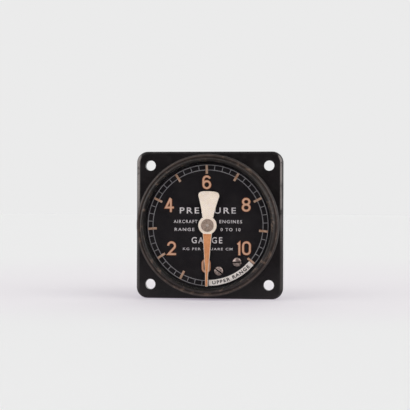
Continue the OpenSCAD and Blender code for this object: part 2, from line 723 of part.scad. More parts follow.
case();
bezel_ring();
glass();
glass_gasket();
spacer_ring();
dial_plate();
dial_screws();
socket_block();
socket_gasket();
passage_plug();
union_nipple();
union_washer();
restrictor_screw();
back_screws();
bourdon_tube();
movement_back_plate();
movement_front_plate();
movement_pillars();
front_plate_screws();
back_plate_screws();
sector_stop_pin();
hairspring_stud();
hairspring();
hairspring_collet();
pointer_arbor();
pinion();
hub_boss();
pointer_blade();
pointer_lume();
sector_gear();
sector_arbor();
tail_pin();
link();
tip_block();
tip_pin();
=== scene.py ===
import math
import re

import bmesh
import bpy
from mathutils import Matrix, Vector
from mathutils.geometry import tessellate_polygon


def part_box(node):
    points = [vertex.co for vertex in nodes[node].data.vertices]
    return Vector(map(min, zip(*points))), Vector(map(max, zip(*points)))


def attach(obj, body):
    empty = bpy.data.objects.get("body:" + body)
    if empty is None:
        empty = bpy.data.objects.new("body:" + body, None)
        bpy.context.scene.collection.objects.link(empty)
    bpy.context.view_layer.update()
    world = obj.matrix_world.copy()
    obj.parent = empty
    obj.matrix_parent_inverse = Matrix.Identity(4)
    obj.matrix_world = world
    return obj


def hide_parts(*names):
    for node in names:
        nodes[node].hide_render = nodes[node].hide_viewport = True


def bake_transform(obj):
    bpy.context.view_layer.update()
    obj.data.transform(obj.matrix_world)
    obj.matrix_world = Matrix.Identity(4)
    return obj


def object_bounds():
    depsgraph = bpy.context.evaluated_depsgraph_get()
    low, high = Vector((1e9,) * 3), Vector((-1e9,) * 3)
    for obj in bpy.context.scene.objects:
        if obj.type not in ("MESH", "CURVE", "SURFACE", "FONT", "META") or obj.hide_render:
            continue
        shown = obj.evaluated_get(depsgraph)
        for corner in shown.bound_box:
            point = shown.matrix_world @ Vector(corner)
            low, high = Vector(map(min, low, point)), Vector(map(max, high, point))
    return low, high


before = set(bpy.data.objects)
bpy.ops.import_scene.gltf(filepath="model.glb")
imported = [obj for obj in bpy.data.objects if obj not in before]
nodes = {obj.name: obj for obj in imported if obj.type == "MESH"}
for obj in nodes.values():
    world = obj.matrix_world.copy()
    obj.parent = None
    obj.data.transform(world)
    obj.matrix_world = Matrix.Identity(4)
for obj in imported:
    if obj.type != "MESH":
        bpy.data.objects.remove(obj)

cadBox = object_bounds()
mm = 0.001
scene = bpy.context.scene
scene.view_settings.view_transform = "Standard"

# The view: the gauge's own axes are x right, y up and z towards the reader, as turned here
view = {"yaw": -6.43, "pitch": -0.16, "roll": -0.2, "right": 1.74, "up": -8.18, "distance": 450.0,
        "focalPixels": 1106.0, "imagePixels": 410, "sensor": 36, "nearest": 0.01}


def standUp(x, y, z):
    return Vector((x, -z, y))   # dial coordinates to the frame's


def setAll(thing, **settings):
    for name, value in settings.items():
        setattr(thing, name, value)
    return thing


def putIn(name, data):
    thing = bpy.data.objects.new(name, data)
    scene.collection.objects.link(thing)
    return thing


def addCamera():
    turn = Matrix.Identity(3)
    for name, axis in (("roll", "Z"), ("pitch", "X"), ("yaw", "Y")):
        turn = turn @ Matrix.Rotation(math.radians(view[name]), 3, axis)
    back = turn.transposed()
    spot = back @ Vector((-view["right"], -view["up"], view["distance"]))
    pose = Matrix([standUp(*back.col[i]) for i in range(3)]).transposed().to_4x4()
    pose.translation = standUp(*spot) * mm
    lens = view["focalPixels"] / view["imagePixels"] * view["sensor"]
    scene.camera = putIn("camera", setAll(bpy.data.cameras.new("camera"), sensor_width=view["sensor"],
                                          lens=lens, clip_start=view["nearest"]))
    scene.camera.matrix_world = pose


addCamera()
print("camera placed")


# Colours are picked as a screen shows them, 0 to 255
def tint(*levels):
    shares = [level / 255 for level in levels]
    return (*[x / 12.92 if x <= 0.04045 else ((x + 0.055) / 1.055) ** 2.4 for x in shares], 1.0)


# Shader nodes are named without their first word. Inputs are numbers, colours, values or other nodes
def add(tree, kind, inputs=(), **settings):
    node = tree.nodes.new(kind if kind.startswith(("Geometry", "Node")) else "ShaderNode" + kind)
    setAll(node, **settings)
    for name, value in dict(inputs).items():
        source = value.outputs[0] if isinstance(value, bpy.types.Node) else getattr(value, "socket", value)
        if isinstance(source, bpy.types.NodeSocket):
            tree.links.new(source, node.inputs[name])
        else:
            node.inputs[name].default_value = source
    return node


# A value on its way through a node tree, so that sums read as they are written
class nodeValue:
    def __init__(self, socket):
        self.socket = socket
        self.tree = socket.id_data

    def math(self, operation, *others):
        return addValue(self.tree, "Math", enumerate((self, *others)), operation=operation)

    def __add__(self, other):
        return self.math("ADD", other)

    def __sub__(self, other):
        return self.math("SUBTRACT", other)

    def __mul__(self, other):
        return self.math("MULTIPLY", other)

    def __truediv__(self, other):
        return self.math("DIVIDE", other)

    def __abs__(self):
        return self.math("ABSOLUTE")

    def most(self, other):
        return self.math("MAXIMUM", other)

    # What runs from low to high comes out as start to end
    def blend(self, low, high, start=0, end=1, way="SMOOTHSTEP"):
        limits = {"Value": self, "From Min": low, "From Max": high, "To Min": start, "To Max": end}
        return addValue(self.tree, "MapRange", limits, interpolation_type=way)


def addValue(tree, kind, inputs=(), output=0, **settings):
    return nodeValue(add(tree, kind, inputs, **settings).outputs[output])


def outputsOf(node):
    return {socket.name: nodeValue(socket) for socket in node.outputs}


def place(tree, kind="Object"):
    return addValue(tree, "TexCoord", output=kind)


def axes(tree, vector=None):
    split = add(tree, "SeparateXYZ", {0: vector or place(tree)})
    return [nodeValue(socket) for socket in split.outputs]


def reach(first, second):
    return (first * first + second * second).math("SQRT")


def mixColour(share, first, second):
    return addValue(share.tree, "Mix", {0: share, 6: first, 7: second}, 2, data_type="RGBA")


def mixValue(share, first, second):
    return addValue(share.tree, "Mix", {0: share, 2: first, 3: second})


def startTree(holder):
    holder.use_nodes = True
    holder.node_tree.nodes.clear()
    return holder.node_tree


studio = {"backdrop": tint(235, 235, 235), "frontDark": 0.05, "evenLight": 0.43,
          "sideFrom": (0.6, 0.95), "sideBright": 2.4, "topFrom": (0.2, 0.95), "topLevel": 0.28,
          "behindFrom": (-0.1, 0.6), "inGlass": 0.15, "throughGlass": (-0.3, 0.0),
          "floorSize": 6.0, "floorGlow": (0.35, 0.31, 0.37), "lightOnFloor": 0.91, "tableEnds": (0.045, 0.11),
          # The last three set the painted shadow on the floor around the gauge
          "floorPaintedShadow": (0.97, 0.925, 0.965), "paintedShadowReach": (0.02, 0.12), "paintedShadowStretch": (0.35, 0.25)}
# Each lamp: where it shines from, its strength, and how wide it looks in degrees
lamps = {"leftSoftbox": ((-0.74, -0.60, 0.52), 1.06, 60), "rightSoftbox": ((0.84, -0.46, 0.52), 1.40, 60),
         "rearOverhead": ((0.0, 0.80, 0.60), 1.05, 70)}


def lightWorld():
    scene.world = bpy.data.worlds.new("studio")
    tree = startTree(scene.world)
    rays = outputsOf(add(tree, "LightPath"))
    x, y, z = axes(tree, place(tree, "Generated"))
    side = abs(x).blend(*studio["sideFrom"], studio["frontDark"], studio["sideBright"])
    above = z.blend(*studio["topFrom"], 0, studio["topLevel"])
    behind = y.blend(*studio["behindFrom"], 0, studio["backdrop"][0])
    # The coated pane throws back only a little of the room, so it stays clear from every side
    seen = side.most(above).most(behind) * rays["Is Singular Ray"].blend(0, 1, 1, studio["inGlass"])
    even = add(tree, "Background", {"Strength": studio["evenLight"]})
    gloss = add(tree, "Background", {"Strength": seen})
    plain = add(tree, "Background", {"Color": studio["backdrop"]})
    # What glass lets through shows the backdrop, and what it throws back shows the dark room in front
    through = rays["Is Transmission Ray"] * y.blend(*studio["throughGlass"])
    thrownBack = rays["Is Glossy Ray"].most(rays["Is Transmission Ray"])
    shader = add(tree, "MixShader", {0: thrownBack, 1: even, 2: gloss})
    shader = add(tree, "MixShader", {0: rays["Is Camera Ray"].most(through), 1: shader, 2: plain})
    add(tree, "OutputWorld", {"Surface": shader})


def addLamps():
    for name, (source, strength, width) in lamps.items():
        light = setAll(bpy.data.lights.new(name, "SUN"), energy=strength, angle=math.radians(width))
        putIn(name, light).rotation_euler = Vector(source).to_track_quat("Z", "Y").to_euler()


# The floor glows a little, so that its shadow stays as soft and pale as on white paper
def addFloor():
    low, size = cadBox[0][2], studio["floorSize"]
    mesh = bpy.data.meshes.new("floor")
    corners = [(x * size, y * size, low) for x, y in ((-1, -1), (1, -1), (1, 1), (-1, 1))]
    mesh.from_pydata(corners, [], [(0, 1, 2, 3)])
    paper = bpy.data.materials.new("floor_paper")
    tree = startTree(paper)
    x, y, z = axes(tree)
    # Painted shadow: the paper is coloured a little darker around the gauge, furthest behind it
    wide, deep = studio["paintedShadowStretch"]
    away = reach(x * wide, (y * deep).most(y * -1))
    plain = [(studio["backdrop"][i] - studio["floorGlow"][i]) / studio["lightOnFloor"] for i in range(3)]
    shaded = [plain[i] * studio["floorPaintedShadow"][i] for i in range(3)]
    colour = mixColour(away.blend(*studio["paintedShadowReach"], 1, 0), (*plain, 1), (*shaded, 1))
    glow = add(tree, "Emission", {"Color": (*studio["floorGlow"], 1)})
    both = add(tree, "AddShader", {0: add(tree, "BsdfDiffuse", {"Color": colour}), 1: glow})
    # The table ends in front, so what is further out reflects as the dark room
    rays = outputsOf(add(tree, "LightPath"))
    dark = (y * -1).blend(*studio["tableEnds"]).most(rays["Is Singular Ray"])
    dark = dark * rays["Is Glossy Ray"].most(rays["Is Transmission Ray"])
    room = add(tree, "Emission", {"Strength": studio["frontDark"]})
    add(tree, "OutputMaterial", {"Surface": add(tree, "MixShader", {0: dark, 1: both, 2: room})})
    mesh.materials.append(paper)
    putIn("floor", mesh)


lightWorld()
addLamps()
addFloor()
print("studio lit")


# Inputs are called in camelCase here and in words in Blender
def inWords(name):
    return re.sub("([A-Z])", r" \1", name).capitalize()


# A group of nodes with named inputs and outputs. Where a word stands for a value, it is the socket's kind
def makeGroup(build, treeKind="ShaderNodeTree", **inputs):
    tree = bpy.data.node_groups.new(build.__name__, treeKind)
    for name, value in inputs.items():
        kind = {int: "Int", float: "Float", tuple: "Color"}.get(type(value), value)
        socket = tree.interface.new_socket(inWords(name), in_out="INPUT", socket_type="NodeSocket" + kind)
        if kind != value:
            socket.default_value = value
    given = add(tree, "NodeGroupInput").outputs[:len(inputs)]
    made = build(tree, *[nodeValue(socket) for socket in given])
    for name, value in made.items():
        kind = {"VALUE": "Float", "RGBA": "Color"}.get(value.socket.type, "Geometry")
        tree.interface.new_socket(name, in_out="OUTPUT", socket_type="NodeSocket" + kind)
    add(tree, "NodeGroupOutput", made)
    return tree


# Sizes come in millimetres
def noise(vector, size, detail=2.0, rough=0.5, finer=1.0):
    scale = size if isinstance(size, float) else size.math("POWER", -1.0) * (finer / mm)
    return addValue(vector.tree, "TexNoise", {"Vector": vector, "Scale": scale, "Detail": detail,
                                              "Roughness": rough})


# Effects that several finishes share
def fineGrain(tree, size):
    coarse, fine = noise(place(tree), size, 3.0, 0.6), noise(place(tree), size, 2.0, 0.7, 3.1)
    return {"Height": coarse * 0.65 + fine * 0.35, "Tone": coarse.blend(0.3, 0.7)}


def toneDrift(tree, first, second, size):
    return {"Colour": mixColour(noise(place(tree), size, 5.0, 0.6).blend(0.35, 0.65), first, second)}


# Patches for rubbed wear, also used to break up painted highlight and painted shade
def wearAndLightPatches(tree, size, amount, softness):
    edge = amount * -0.56 + 0.78
    return {"Mask": noise(place(tree), size, 8.0, 0.68).blend(edge - softness, edge + softness)}


def specks(tree, size, radius, share):
    cells = add(tree, "TexVoronoi", {"Vector": place(tree), "Scale": size.math("POWER", -1.0) / mm}).outputs
    near = nodeValue(cells["Distance"]).math("LESS_THAN", radius)
    return {"Mask": near * axes(tree, nodeValue(cells["Color"]))[0].math("LESS_THAN", share)}


# Lathe marks around the gauge's own axis, with the light and dark sweeps of turned metal
def turnedMarks(tree, pitch):
    x, y, z = axes(tree)
    radius = reach(x, z)
    steps, safe = radius / mm / pitch, radius.most(0.00001)
    rings = addValue(tree, "TexNoise", {"W": steps, "Scale": 1.0, "Detail": 3.0}, noise_dimensions="1D")
    around = addValue(tree, "CombineXYZ", {"X": x / safe, "Y": steps * 0.5, "Z": z / safe})
    sweep = noise(around, 2.2, 4.0, 0.6)
    return {"Height": rings, "Tone": (sweep * 0.6 + rings * 0.4).blend(0.35, 0.65)}


# Fine hairline scuffs in two directions
def scuffs(tree, length, amount):
    masks = []
    for turn, seed in ((0.5, 3.0), (-0.9, 11.0)):
        lay = addValue(tree, "Mapping", {"Vector": place(tree), "Rotation": (0.3, turn, 0.4),
                                         "Location": (seed, seed, seed), "Scale": (1.0, 22.0, 22.0)})
        masks.append(abs(noise(lay, length) - 0.5).blend(0, 0.012, 1, 0))
    patches = noise(place(tree), 260.0, 3.0, 0.6).blend(0.5, 0.62)
    return {"Mask": masks[0].most(masks[1]) * patches * amount}


effects = [makeGroup(fineGrain, size=0.3), makeGroup(specks, size=1.0, radius=0.12, share=0.5),
           makeGroup(toneDrift, first=(0.1, 0.1, 0.1, 1.0), second=(0.2, 0.2, 0.2, 1.0), size=5.0),
           makeGroup(wearAndLightPatches, size=3.0, amount=0.3, softness=0.04),
           makeGroup(turnedMarks, pitch=0.1), makeGroup(scuffs, length=6.0, amount=0.5)]
effects = {group.name: group for group in effects}


def useEffect(tree, name, **values):
    inputs = {inWords(label): value for label, value in values.items()}
    return outputsOf(add(tree, "Group", inputs, node_tree=effects[name]))


def scaleColour(colour, shade):
    return addValue(colour.tree, "VectorMath", {0: colour, "Scale": shade}, operation="SCALE")


def distanceFromAxis(tree):
    return reach(*axes(tree)[::2])


# Painted light and shade in bands around the axis: each is a radius in millimetres and how bright the colour
# is painted there
def paintLightAndShadeBands(tree, lightAndShadeBands):
    low, high = lightAndShadeBands[0][0], lightAndShadeBands[-1][0]
    way = distanceFromAxis(tree).blend(low * mm, high * mm, way="LINEAR")
    ramp = add(tree, "ValToRGB", {0: way})
    stops = ramp.color_ramp.elements
    for radius, level in lightAndShadeBands[1:-1]:
        stops.new((radius - low) / (high - low))
    for stop, (radius, level) in zip(stops, lightAndShadeBands):
        stop.color = (level, level, level, 1)
    return nodeValue(ramp.outputs[0])


# One recipe for every finish: a drifting colour with painted bands of light and shade, then turned marks,
# rubbed wear and layers of painted highlight and shade, dust and scratches
def makeFinish(name, tones, rough, grain, gloss=0.5, metallic=0.0, lightAndShadeBands=None, turning=None, wearAndPaintedLight=(),
               dust=None, scratches=None):
    material = bpy.data.materials.new(name)
    tree = startTree(material)
    first, second, size = tones
    colour = useEffect(tree, "toneDrift", first=tint(*first), second=tint(*second), size=size)["Colour"]
    if lightAndShadeBands:
        colour = scaleColour(colour, paintLightAndShadeBands(tree, lightAndShadeBands))
    pattern = useEffect(tree, "fineGrain", size=grain[0])
    height, roughness = pattern["Height"] * grain[1], pattern["Tone"].blend(0, 1, *rough, "LINEAR")
    if turning:
        pitch, depth, contrast = turning
        marks = useEffect(tree, "turnedMarks", pitch=pitch)
        height = height + marks["Height"] * depth
        colour = scaleColour(colour, marks["Tone"].blend(0, 1, 1 - contrast, 1 + contrast, "LINEAR"))
    # Layers of wear, some of which are painted highlight or painted shade limited to where they fall
    layers = []
    for size, amount, shade, dull, softness, *where in wearAndPaintedLight:
        mask = useEffect(tree, "wearAndLightPatches", size=size, amount=amount, softness=softness)["Mask"]
        for limits in where:
            mask = mask * limits(tree)
        layers.append((mask, shade, dull))
    if dust:
        size, radius, share, shade = dust
        layers.append((useEffect(tree, "specks", size=size, radius=radius, share=share)["Mask"], shade, None))
    if scratches:
        length, amount, shade = scratches
        mask = useEffect(tree, "scuffs", length=length, amount=amount)["Mask"]
        layers.append((mask, shade, min(1.0, rough[1] + 0.15)))
    for mask, shade, dull in layers:
        colour = mixColour(mask, colour, tint(*shade))
        if dull:
            roughness = mixValue(mask, roughness, dull)
    bump = add(tree, "Bump", {"Height": height, "Distance": mm})
    shader = add(tree, "BsdfPrincipled", {"Base Color": colour, "Roughness": roughness, "Metallic": metallic,
                                          "Specular IOR Level": gloss, "Normal": bump})
    add(tree, "OutputMaterial", {"Surface": shader})
    return material


dialTop = -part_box("dial_plate")[0].y / mm   # how far the dial reaches towards the reader
# Where the masks fall, in millimetres: the painted highlight in from the flange's outline, along its sides
# and up its height, the painted shade on the ring's radius and below the tops of the dial's screws, and up
# the crown of a painted figure
maskPlaces = {"corner": 4.5, "outer": (0.3, 0.6), "inner": (1.2, 1.46), "outerLean": 0.003,
              "innerLean": 0.002, "sides": (2.4, 1.3), "foot": (2.5, 5.0), "fade": (-12.0, 16.0),
              "least": 0.15, "shoulder": (28.1, 28.5), "slots": (-0.45, -0.25), "crown": (0.058, 0.079)}


def within(value, name, start=0, end=1, shift=0.0):
    low, high = maskPlaces[name]
    return value.blend(low * mm + shift, high * mm + shift, start, end)


# Painted highlight: 1 along the rounded edges at the flange's left and right, fading towards the foot, and 0
# elsewhere
def flangeEdgeHighlight(tree):
    x, y, z = axes(tree)
    half, corner = cadBox[1][0], maskPlaces["corner"] * mm
    inside = reach(*[(abs(value) - (half - corner)).most(0.0) for value in (x, z)]) * -1 + corner
    # The painted highlight reaches a little wider on the left edge than on the right one
    line = within(inside - x * maskPlaces["outerLean"], "outer")
    line = line * within(inside + x * maskPlaces["innerLean"], "inner", 1, 0)
    line = line * within(abs(x) * -1 + half, "sides")
    return line * within(z, "foot", shift=-half) * within(z, "fade", maskPlaces["least"])


# Painted shade: 1 on the ring's outer shoulder, where the paint is coloured darker and rougher
def ringShoulderShade(tree):
    return within(distanceFromAxis(tree), "shoulder")


# Painted shade: 1 low on the dial's screws and in their slots, 0 on top of their heads
def screwSlotShade(tree):
    return within(axes(tree)[1] + dialTop * mm, "slots")


# 1 along the raised middle of a painted figure's strokes, where the paint is palest
def paintCrown(tree):
    return within((axes(tree)[1] + dialTop * mm) * -1, "crown")


# Tones are two colours and the size of their patches. Painted bands of light and shade are radii, each with
# how bright the colour is painted there. Grain has a size and a depth, and turning a pitch, a depth and a
# contrast. Each layer of wear or of painted highlight and shade has a size and an amount, its colour and
# roughness, how soft its edge is, and where it is, if not all over. Dust has spacing, radius, share and
# colour, scratches length, amount and colour
finishes = {
    "moulded_black": dict(
        tones=((22, 19, 20), (30, 25, 27), 7.0), rough=(0.26, 0.38), grain=(0.35, 0.005), gloss=0.31,
        # The first layer is a painted highlight along the flange's side edges
        wearAndPaintedLight=[(2.2, 0.75, (139, 132, 129), 0.24, 0.04, flangeEdgeHighlight), (9.0, 0.3, (34, 30, 31), 0.62, 0.12)],
        dust=(1.7, 0.07, 0.35, (70, 62, 58)), scratches=(7.0, 0.5, (66, 60, 58))),
    "ring_paint": dict(
        tones=((81, 68, 63), (63, 52, 48), 5.0), rough=(0.30, 0.5), grain=(0.22, 0.008), gloss=0.36,
        # The bands paint the ring's highlights and shade by radius, and the last layer is painted shade on
        # its outer shoulder
        lightAndShadeBands=((25.4, 0.03), (25.85, 0.08), (26.1, 0.2), (26.5, 0.3), (26.8, 0.16), (27.1, 0.28),
               (27.6, 0.62), (28.0, 0.95), (28.3, 0.4), (28.7, 0.15)), turning=(0.16, 0.006, 0.22),
        wearAndPaintedLight=[(2.2, 0.3, (108, 90, 78), 0.34, 0.09), (1.0, 1.0, (36, 29, 26), 0.75, 0.04, ringShoulderShade)],
        dust=(1.1, 0.09, 0.4, (34, 28, 27))),
    "dial_black": dict(
        tones=((25, 22, 25), (31, 28, 30), 6.0), rough=(0.62, 0.8), grain=(0.18, 0.008), gloss=0.08,
        dust=(1.3, 0.055, 0.3, (62, 58, 58)), scratches=(5.0, 0.3, (46, 43, 46))),
    "scale_ink": dict(
        tones=((140, 136, 138), (116, 112, 116), 1.6), rough=(0.6, 0.75), grain=(0.1, 0.01),
        wearAndPaintedLight=[(0.7, 0.16, (60, 56, 58), 0.7, 0.04)]),
    "word_white": dict(
        tones=((216, 208, 208), (180, 174, 178), 1.4), rough=(0.55, 0.7), grain=(0.1, 0.01),
        wearAndPaintedLight=[(0.6, 0.14, (104, 98, 100), 0.7, 0.04)]),
    "lume_paint": dict(
        tones=((180, 112, 70), (158, 90, 50), 1.3), rough=(0.7, 0.85), grain=(0.12, 0.03),
        wearAndPaintedLight=[(1.0, 1.0, (203, 160, 134), 0.75, 0.04, paintCrown), (0.5, 0.2, (120, 78, 54), 0.8, 0.04)]),
    "mark_paint": dict(
        tones=((192, 160, 140), (166, 124, 96), 1.2), rough=(0.7, 0.85), grain=(0.12, 0.03),
        wearAndPaintedLight=[(0.9, 0.26, (168, 112, 78), 0.75, 0.04), (0.5, 0.14, (104, 76, 60), 0.8, 0.04)]),
    "band_cream": dict(
        tones=((247, 237, 232), (231, 219, 213), 2.0), rough=(0.55, 0.7), grain=(0.12, 0.008),
        wearAndPaintedLight=[(0.8, 0.12, (150, 136, 120), 0.7, 0.04)]),
    "band_ink": dict(tones=((30, 26, 27), (50, 44, 42), 0.8), rough=(0.6, 0.75), grain=(0.1, 0.01)),
    "pointer_cream": dict(
        tones=((250, 234, 217), (243, 224, 206), 3.0), rough=(0.38, 0.5), grain=(0.2, 0.006),
        wearAndPaintedLight=[(1.4, 0.4, (246, 229, 219), 0.5, 0.1), (0.8, 0.24, (228, 204, 182), 0.55, 0.1),
              (0.9, 0.1, (190, 164, 142), 0.6, 0.04)], dust=(0.9, 0.06, 0.3, (150, 124, 104))),
    "blade_lume": dict(
        tones=((213, 146, 97), (200, 129, 82), 1.8), rough=(0.68, 0.85), grain=(0.14, 0.04),
        wearAndPaintedLight=[(1.0, 0.2, (214, 164, 124), 0.75, 0.04), (0.6, 0.12, (156, 98, 62), 0.8, 0.04)]),
    "turned_cap": dict(
        tones=((182, 158, 145), (154, 132, 118), 1.0), rough=(0.34, 0.5), grain=(0.12, 0.004), metallic=0.45,
        turning=(0.14, 0.03, 0.42),
        wearAndPaintedLight=[(0.7, 0.24, (116, 94, 78), 0.6, 0.04), (0.5, 0.2, (206, 186, 166), 0.4, 0.04)]),
    "plated_steel": dict(
        tones=((138, 120, 115), (106, 88, 84), 1.2), rough=(0.28, 0.44), grain=(0.15, 0.006), metallic=0.7,
        wearAndPaintedLight=[(0.8, 0.3, (104, 82, 74), 0.6, 0.04)], scratches=(1.5, 0.7, (200, 190, 184))),
    "dial_screw_steel": dict(
        tones=((222, 200, 193), (152, 128, 121), 0.9), rough=(0.26, 0.42), grain=(0.15, 0.01), metallic=0.85,
        wearAndPaintedLight=[(0.7, 0.3, (104, 84, 78), 0.6, 0.04), (0.9, 0.26, (226, 214, 208), 0.4, 0.04),
              # The last layer is painted shade low on the heads and in the slots
              (1.0, 1.0, (34, 28, 28), 0.8, 0.04, screwSlotShade)]),
    "arbor_end": dict(
        tones=((196, 180, 170), (172, 156, 146), 0.6), rough=(0.4, 0.55), grain=(0.1, 0.003), metallic=0.2),
    "bright_steel": dict(
        tones=((206, 204, 202), (184, 182, 182), 1.5), rough=(0.2, 0.32), grain=(0.12, 0.003), metallic=1.0,
        scratches=(1.2, 0.6, (150, 146, 146))),
    "tarnished_brass": dict(
        tones=((176, 142, 84), (140, 104, 58), 3.0), rough=(0.3, 0.5), grain=(0.25, 0.008), metallic=0.95,
        turning=(0.14, 0.01, 0.12), scratches=(3.0, 0.7, (214, 184, 122)),
        wearAndPaintedLight=[(2.4, 0.34, (96, 72, 48), 0.6, 0.1), (0.9, 0.1, (82, 104, 84), 0.8, 0.04)]),
    "movement_brass": dict(
        tones=((206, 170, 100), (188, 150, 84), 4.0), rough=(0.24, 0.38), grain=(0.2, 0.004), metallic=1.0,
        wearAndPaintedLight=[(2.0, 0.16, (140, 106, 62), 0.5, 0.04)], scratches=(2.5, 0.6, (226, 200, 142))),
    "tube_bronze": dict(
        tones=((178, 128, 84), (150, 104, 66), 3.0), rough=(0.28, 0.42), grain=(0.2, 0.004), metallic=1.0,
        wearAndPaintedLight=[(2.0, 0.26, (112, 74, 50), 0.55, 0.04)]),
    "blued_spring": dict(
        tones=((96, 92, 120), (120, 104, 112), 2.0), rough=(0.22, 0.34), grain=(0.1, 0.002), metallic=1.0),
    "red_fibre": dict(
        tones=((132, 62, 46), (106, 48, 38), 1.4), rough=(0.66, 0.84), grain=(0.16, 0.03),
        wearAndPaintedLight=[(0.8, 0.24, (72, 42, 36), 0.85, 0.04)]),
    "seal_rubber": dict(
        tones=((30, 29, 29), (40, 38, 37), 1.5), rough=(0.62, 0.82), grain=(0.14, 0.02),
        dust=(0.8, 0.07, 0.3, (74, 70, 66))),
    "spacer_black": dict(
        tones=((14, 12, 13), (20, 17, 18), 2.0), rough=(0.45, 0.6), grain=(0.16, 0.01), gloss=0.15,
        turning=(0.12, 0.008, 0.2))}
materials = {name: makeFinish(name, **recipe) for name, recipe in finishes.items()}


# A coated pane throws little light back, and it casts no shadow on the dial
def makeWindowGlass():
    material = bpy.data.materials.new("window_glass")
    tree = startTree(material)
    pane = add(tree, "BsdfPrincipled", {"Roughness": 0.0, "Base Color": (0.97, 0.985, 0.98, 1),
                                        "Transmission Weight": 1.0, "IOR": 1.22})
    rays = outputsOf(add(tree, "LightPath"))
    unseen = rays["Is Shadow Ray"].most(rays["Is Diffuse Ray"])
    shader = add(tree, "MixShader", {0: unseen, 1: pane, 2: add(tree, "BsdfTransparent")})
    add(tree, "OutputMaterial", {"Surface": shader})
    return material


materials["window_glass"] = makeWindowGlass()
print("finishes mixed:", len(materials))


# Shaping tools. Points are in dial millimetres
def addPiece(name, shape, finish, bevel=0.0):
    points, faces = shape
    mesh = bpy.data.meshes.new(name)
    mesh.from_pydata([standUp(*point) * mm for point in points], [], faces)
    mesh.materials.append(materials[finish])
    piece = putIn(name, mesh)
    tidyMesh(mesh)
    if bevel:
        soften(piece, bevel)
    shadeSmooth(piece)
    return piece


def tidyMesh(mesh, turnFaces=True):
    work = bmesh.new()
    work.from_mesh(mesh)
    bmesh.ops.remove_doubles(work, verts=work.verts, dist=1e-7)
    if turnFaces:
        bmesh.ops.recalc_face_normals(work, faces=work.faces)
    work.to_mesh(mesh)
    work.free()


# What the modifiers make becomes the piece's own mesh
def settle(piece):
    graph = bpy.context.evaluated_depsgraph_get()
    mesh = bpy.data.meshes.new_from_object(piece.evaluated_get(graph), preserve_all_data_layers=True,
                                           depsgraph=graph)
    mesh.name = piece.name
    finish = next(material for material in mesh.materials if material)
    mesh.materials.clear()
    mesh.materials.append(finish)
    mesh.polygons.foreach_set("material_index", [0] * len(mesh.polygons))
    piece.modifiers.clear()
    piece.data = mesh


def modify(piece, kind, **settings):
    setAll(piece.modifiers.new(kind.lower(), kind), **settings)
    settle(piece)


def soften(piece, width, segments=3, angle=40):
    modify(piece, "BEVEL", width=width * mm, segments=segments, limit_method="ANGLE",
           angle_limit=math.radians(angle))


def shadeSmooth(piece, sharp=35):
    piece.data.polygons.foreach_set("use_smooth", [True] * len(piece.data.polygons))
    piece.data.set_sharp_from_angle(angle=math.radians(sharp))
    modify(piece, "WEIGHTED_NORMAL", keep_sharp=True, weight=100)


def carve(piece, other, operation="DIFFERENCE"):
    modify(piece, "BOOLEAN", operation=operation, solver="EXACT", object=other)
    bpy.data.objects.remove(other)


def joinPieces(piece, other):
    work = bmesh.new()
    work.from_mesh(piece.data)
    work.from_mesh(other.data)
    work.to_mesh(piece.data)
    work.free()
    bpy.data.objects.remove(other)


def polar(radius, degrees):
    return (radius * math.cos(math.radians(degrees)), radius * math.sin(math.radians(degrees)))


def arc(centre, radius, start, end, steps):
    spots = [polar(radius, start + (end - start) * i / steps) for i in range(steps + 1)]
    return [(centre[0] + x, centre[1] + y) for x, y in spots]


# A profile of (radius, height) turned around the dial's axis or another centre
def turned(profile, segments=128, closed=False, centre=(0, 0)):
    points, faces, loops = [], [], []
    for radius, height in profile:
        if radius < 1e-6:
            loops.append([len(points)] * segments)
            points.append((*centre, height))
            continue
        loops.append(range(len(points), len(points) + segments))
        points += [(x, y, height) for x, y in arc(centre, radius, 0, 360, segments)[:-1]]
    for low, high in list(zip(loops, loops[1:])) + ([(loops[-1], loops[0])] if closed else []):
        for i in range(segments):
            j = (i + 1) % segments
            face = list(dict.fromkeys((low[i], low[j], high[j], high[i])))
            if len(face) > 2:
                faces.append(face)
    return points, faces


# Flat outlines, the first with any others cut out of it, raised from one height to another
def prism(outlines, low, high):
    caps = tessellate_polygon([[Vector((x, y, 0)) for x, y in outline] for outline in outlines])
    points = [(x, y, height) for height in (low, high) for outline in outlines for x, y in outline]
    count, start = len(points) // 2, 0
    faces = [tuple(cap) for cap in caps] + [tuple(i + count for i in cap) for cap in caps]
    for outline in outlines:
        for i in range(len(outline)):
            a, b = start + i, start + (i + 1) % len(outline)
            faces.append((a, b, b + count, a + count))
        start += len(outline)
    return points, faces


# A stroke: a cross-section of (side, height) pairs drawn along a flat path, with mitred corners
def stroke(path, section, closed=False):
    points, faces = [], []
    count, size = len(path), len(section)
    for i, (x, y) in enumerate(path):
        before = path[i - 1] if i or closed else (x, y)
        after = path[(i + 1) % count] if i < count - 1 or closed else (x, y)
        ways = [Vector((x - before[0], y - before[1])), Vector((after[0] - x, after[1] - y))]
        ways = [way.normalized() for way in ways if way.length > 1e-9]
        mean = (ways[0] + ways[-1]).normalized()
        side = Vector((-mean.y, mean.x)) * (1 / max(0.35, mean.dot(ways[0])))
        points += [(x + side.x * across, y + side.y * across, height) for across, height in section]
    for i in range(count if closed else count - 1):
        for k in range(size):
            a, b = i * size, (i + 1) % count * size
            faces.append((a + k, a + (k + 1) % size, b + (k + 1) % size, b + k))
    if not closed:
        faces += [tuple(range(size)), tuple(reversed(range((count - 1) * size, count * size)))]
    return points, faces


def paintSection(width, low, high, crown=0.0):
    half = width / 2
    return [(-half, low), (half, low), (half, high), (half * 0.55, high + crown),
            (-half * 0.55, high + crown), (-half, high)]


def joinShapes(shapes):
    points, faces = [], []
    for morePoints, moreFaces in shapes:
        faces += [tuple(i + len(points) for i in face) for face in moreFaces]
        points += morePoints
    return points, faces


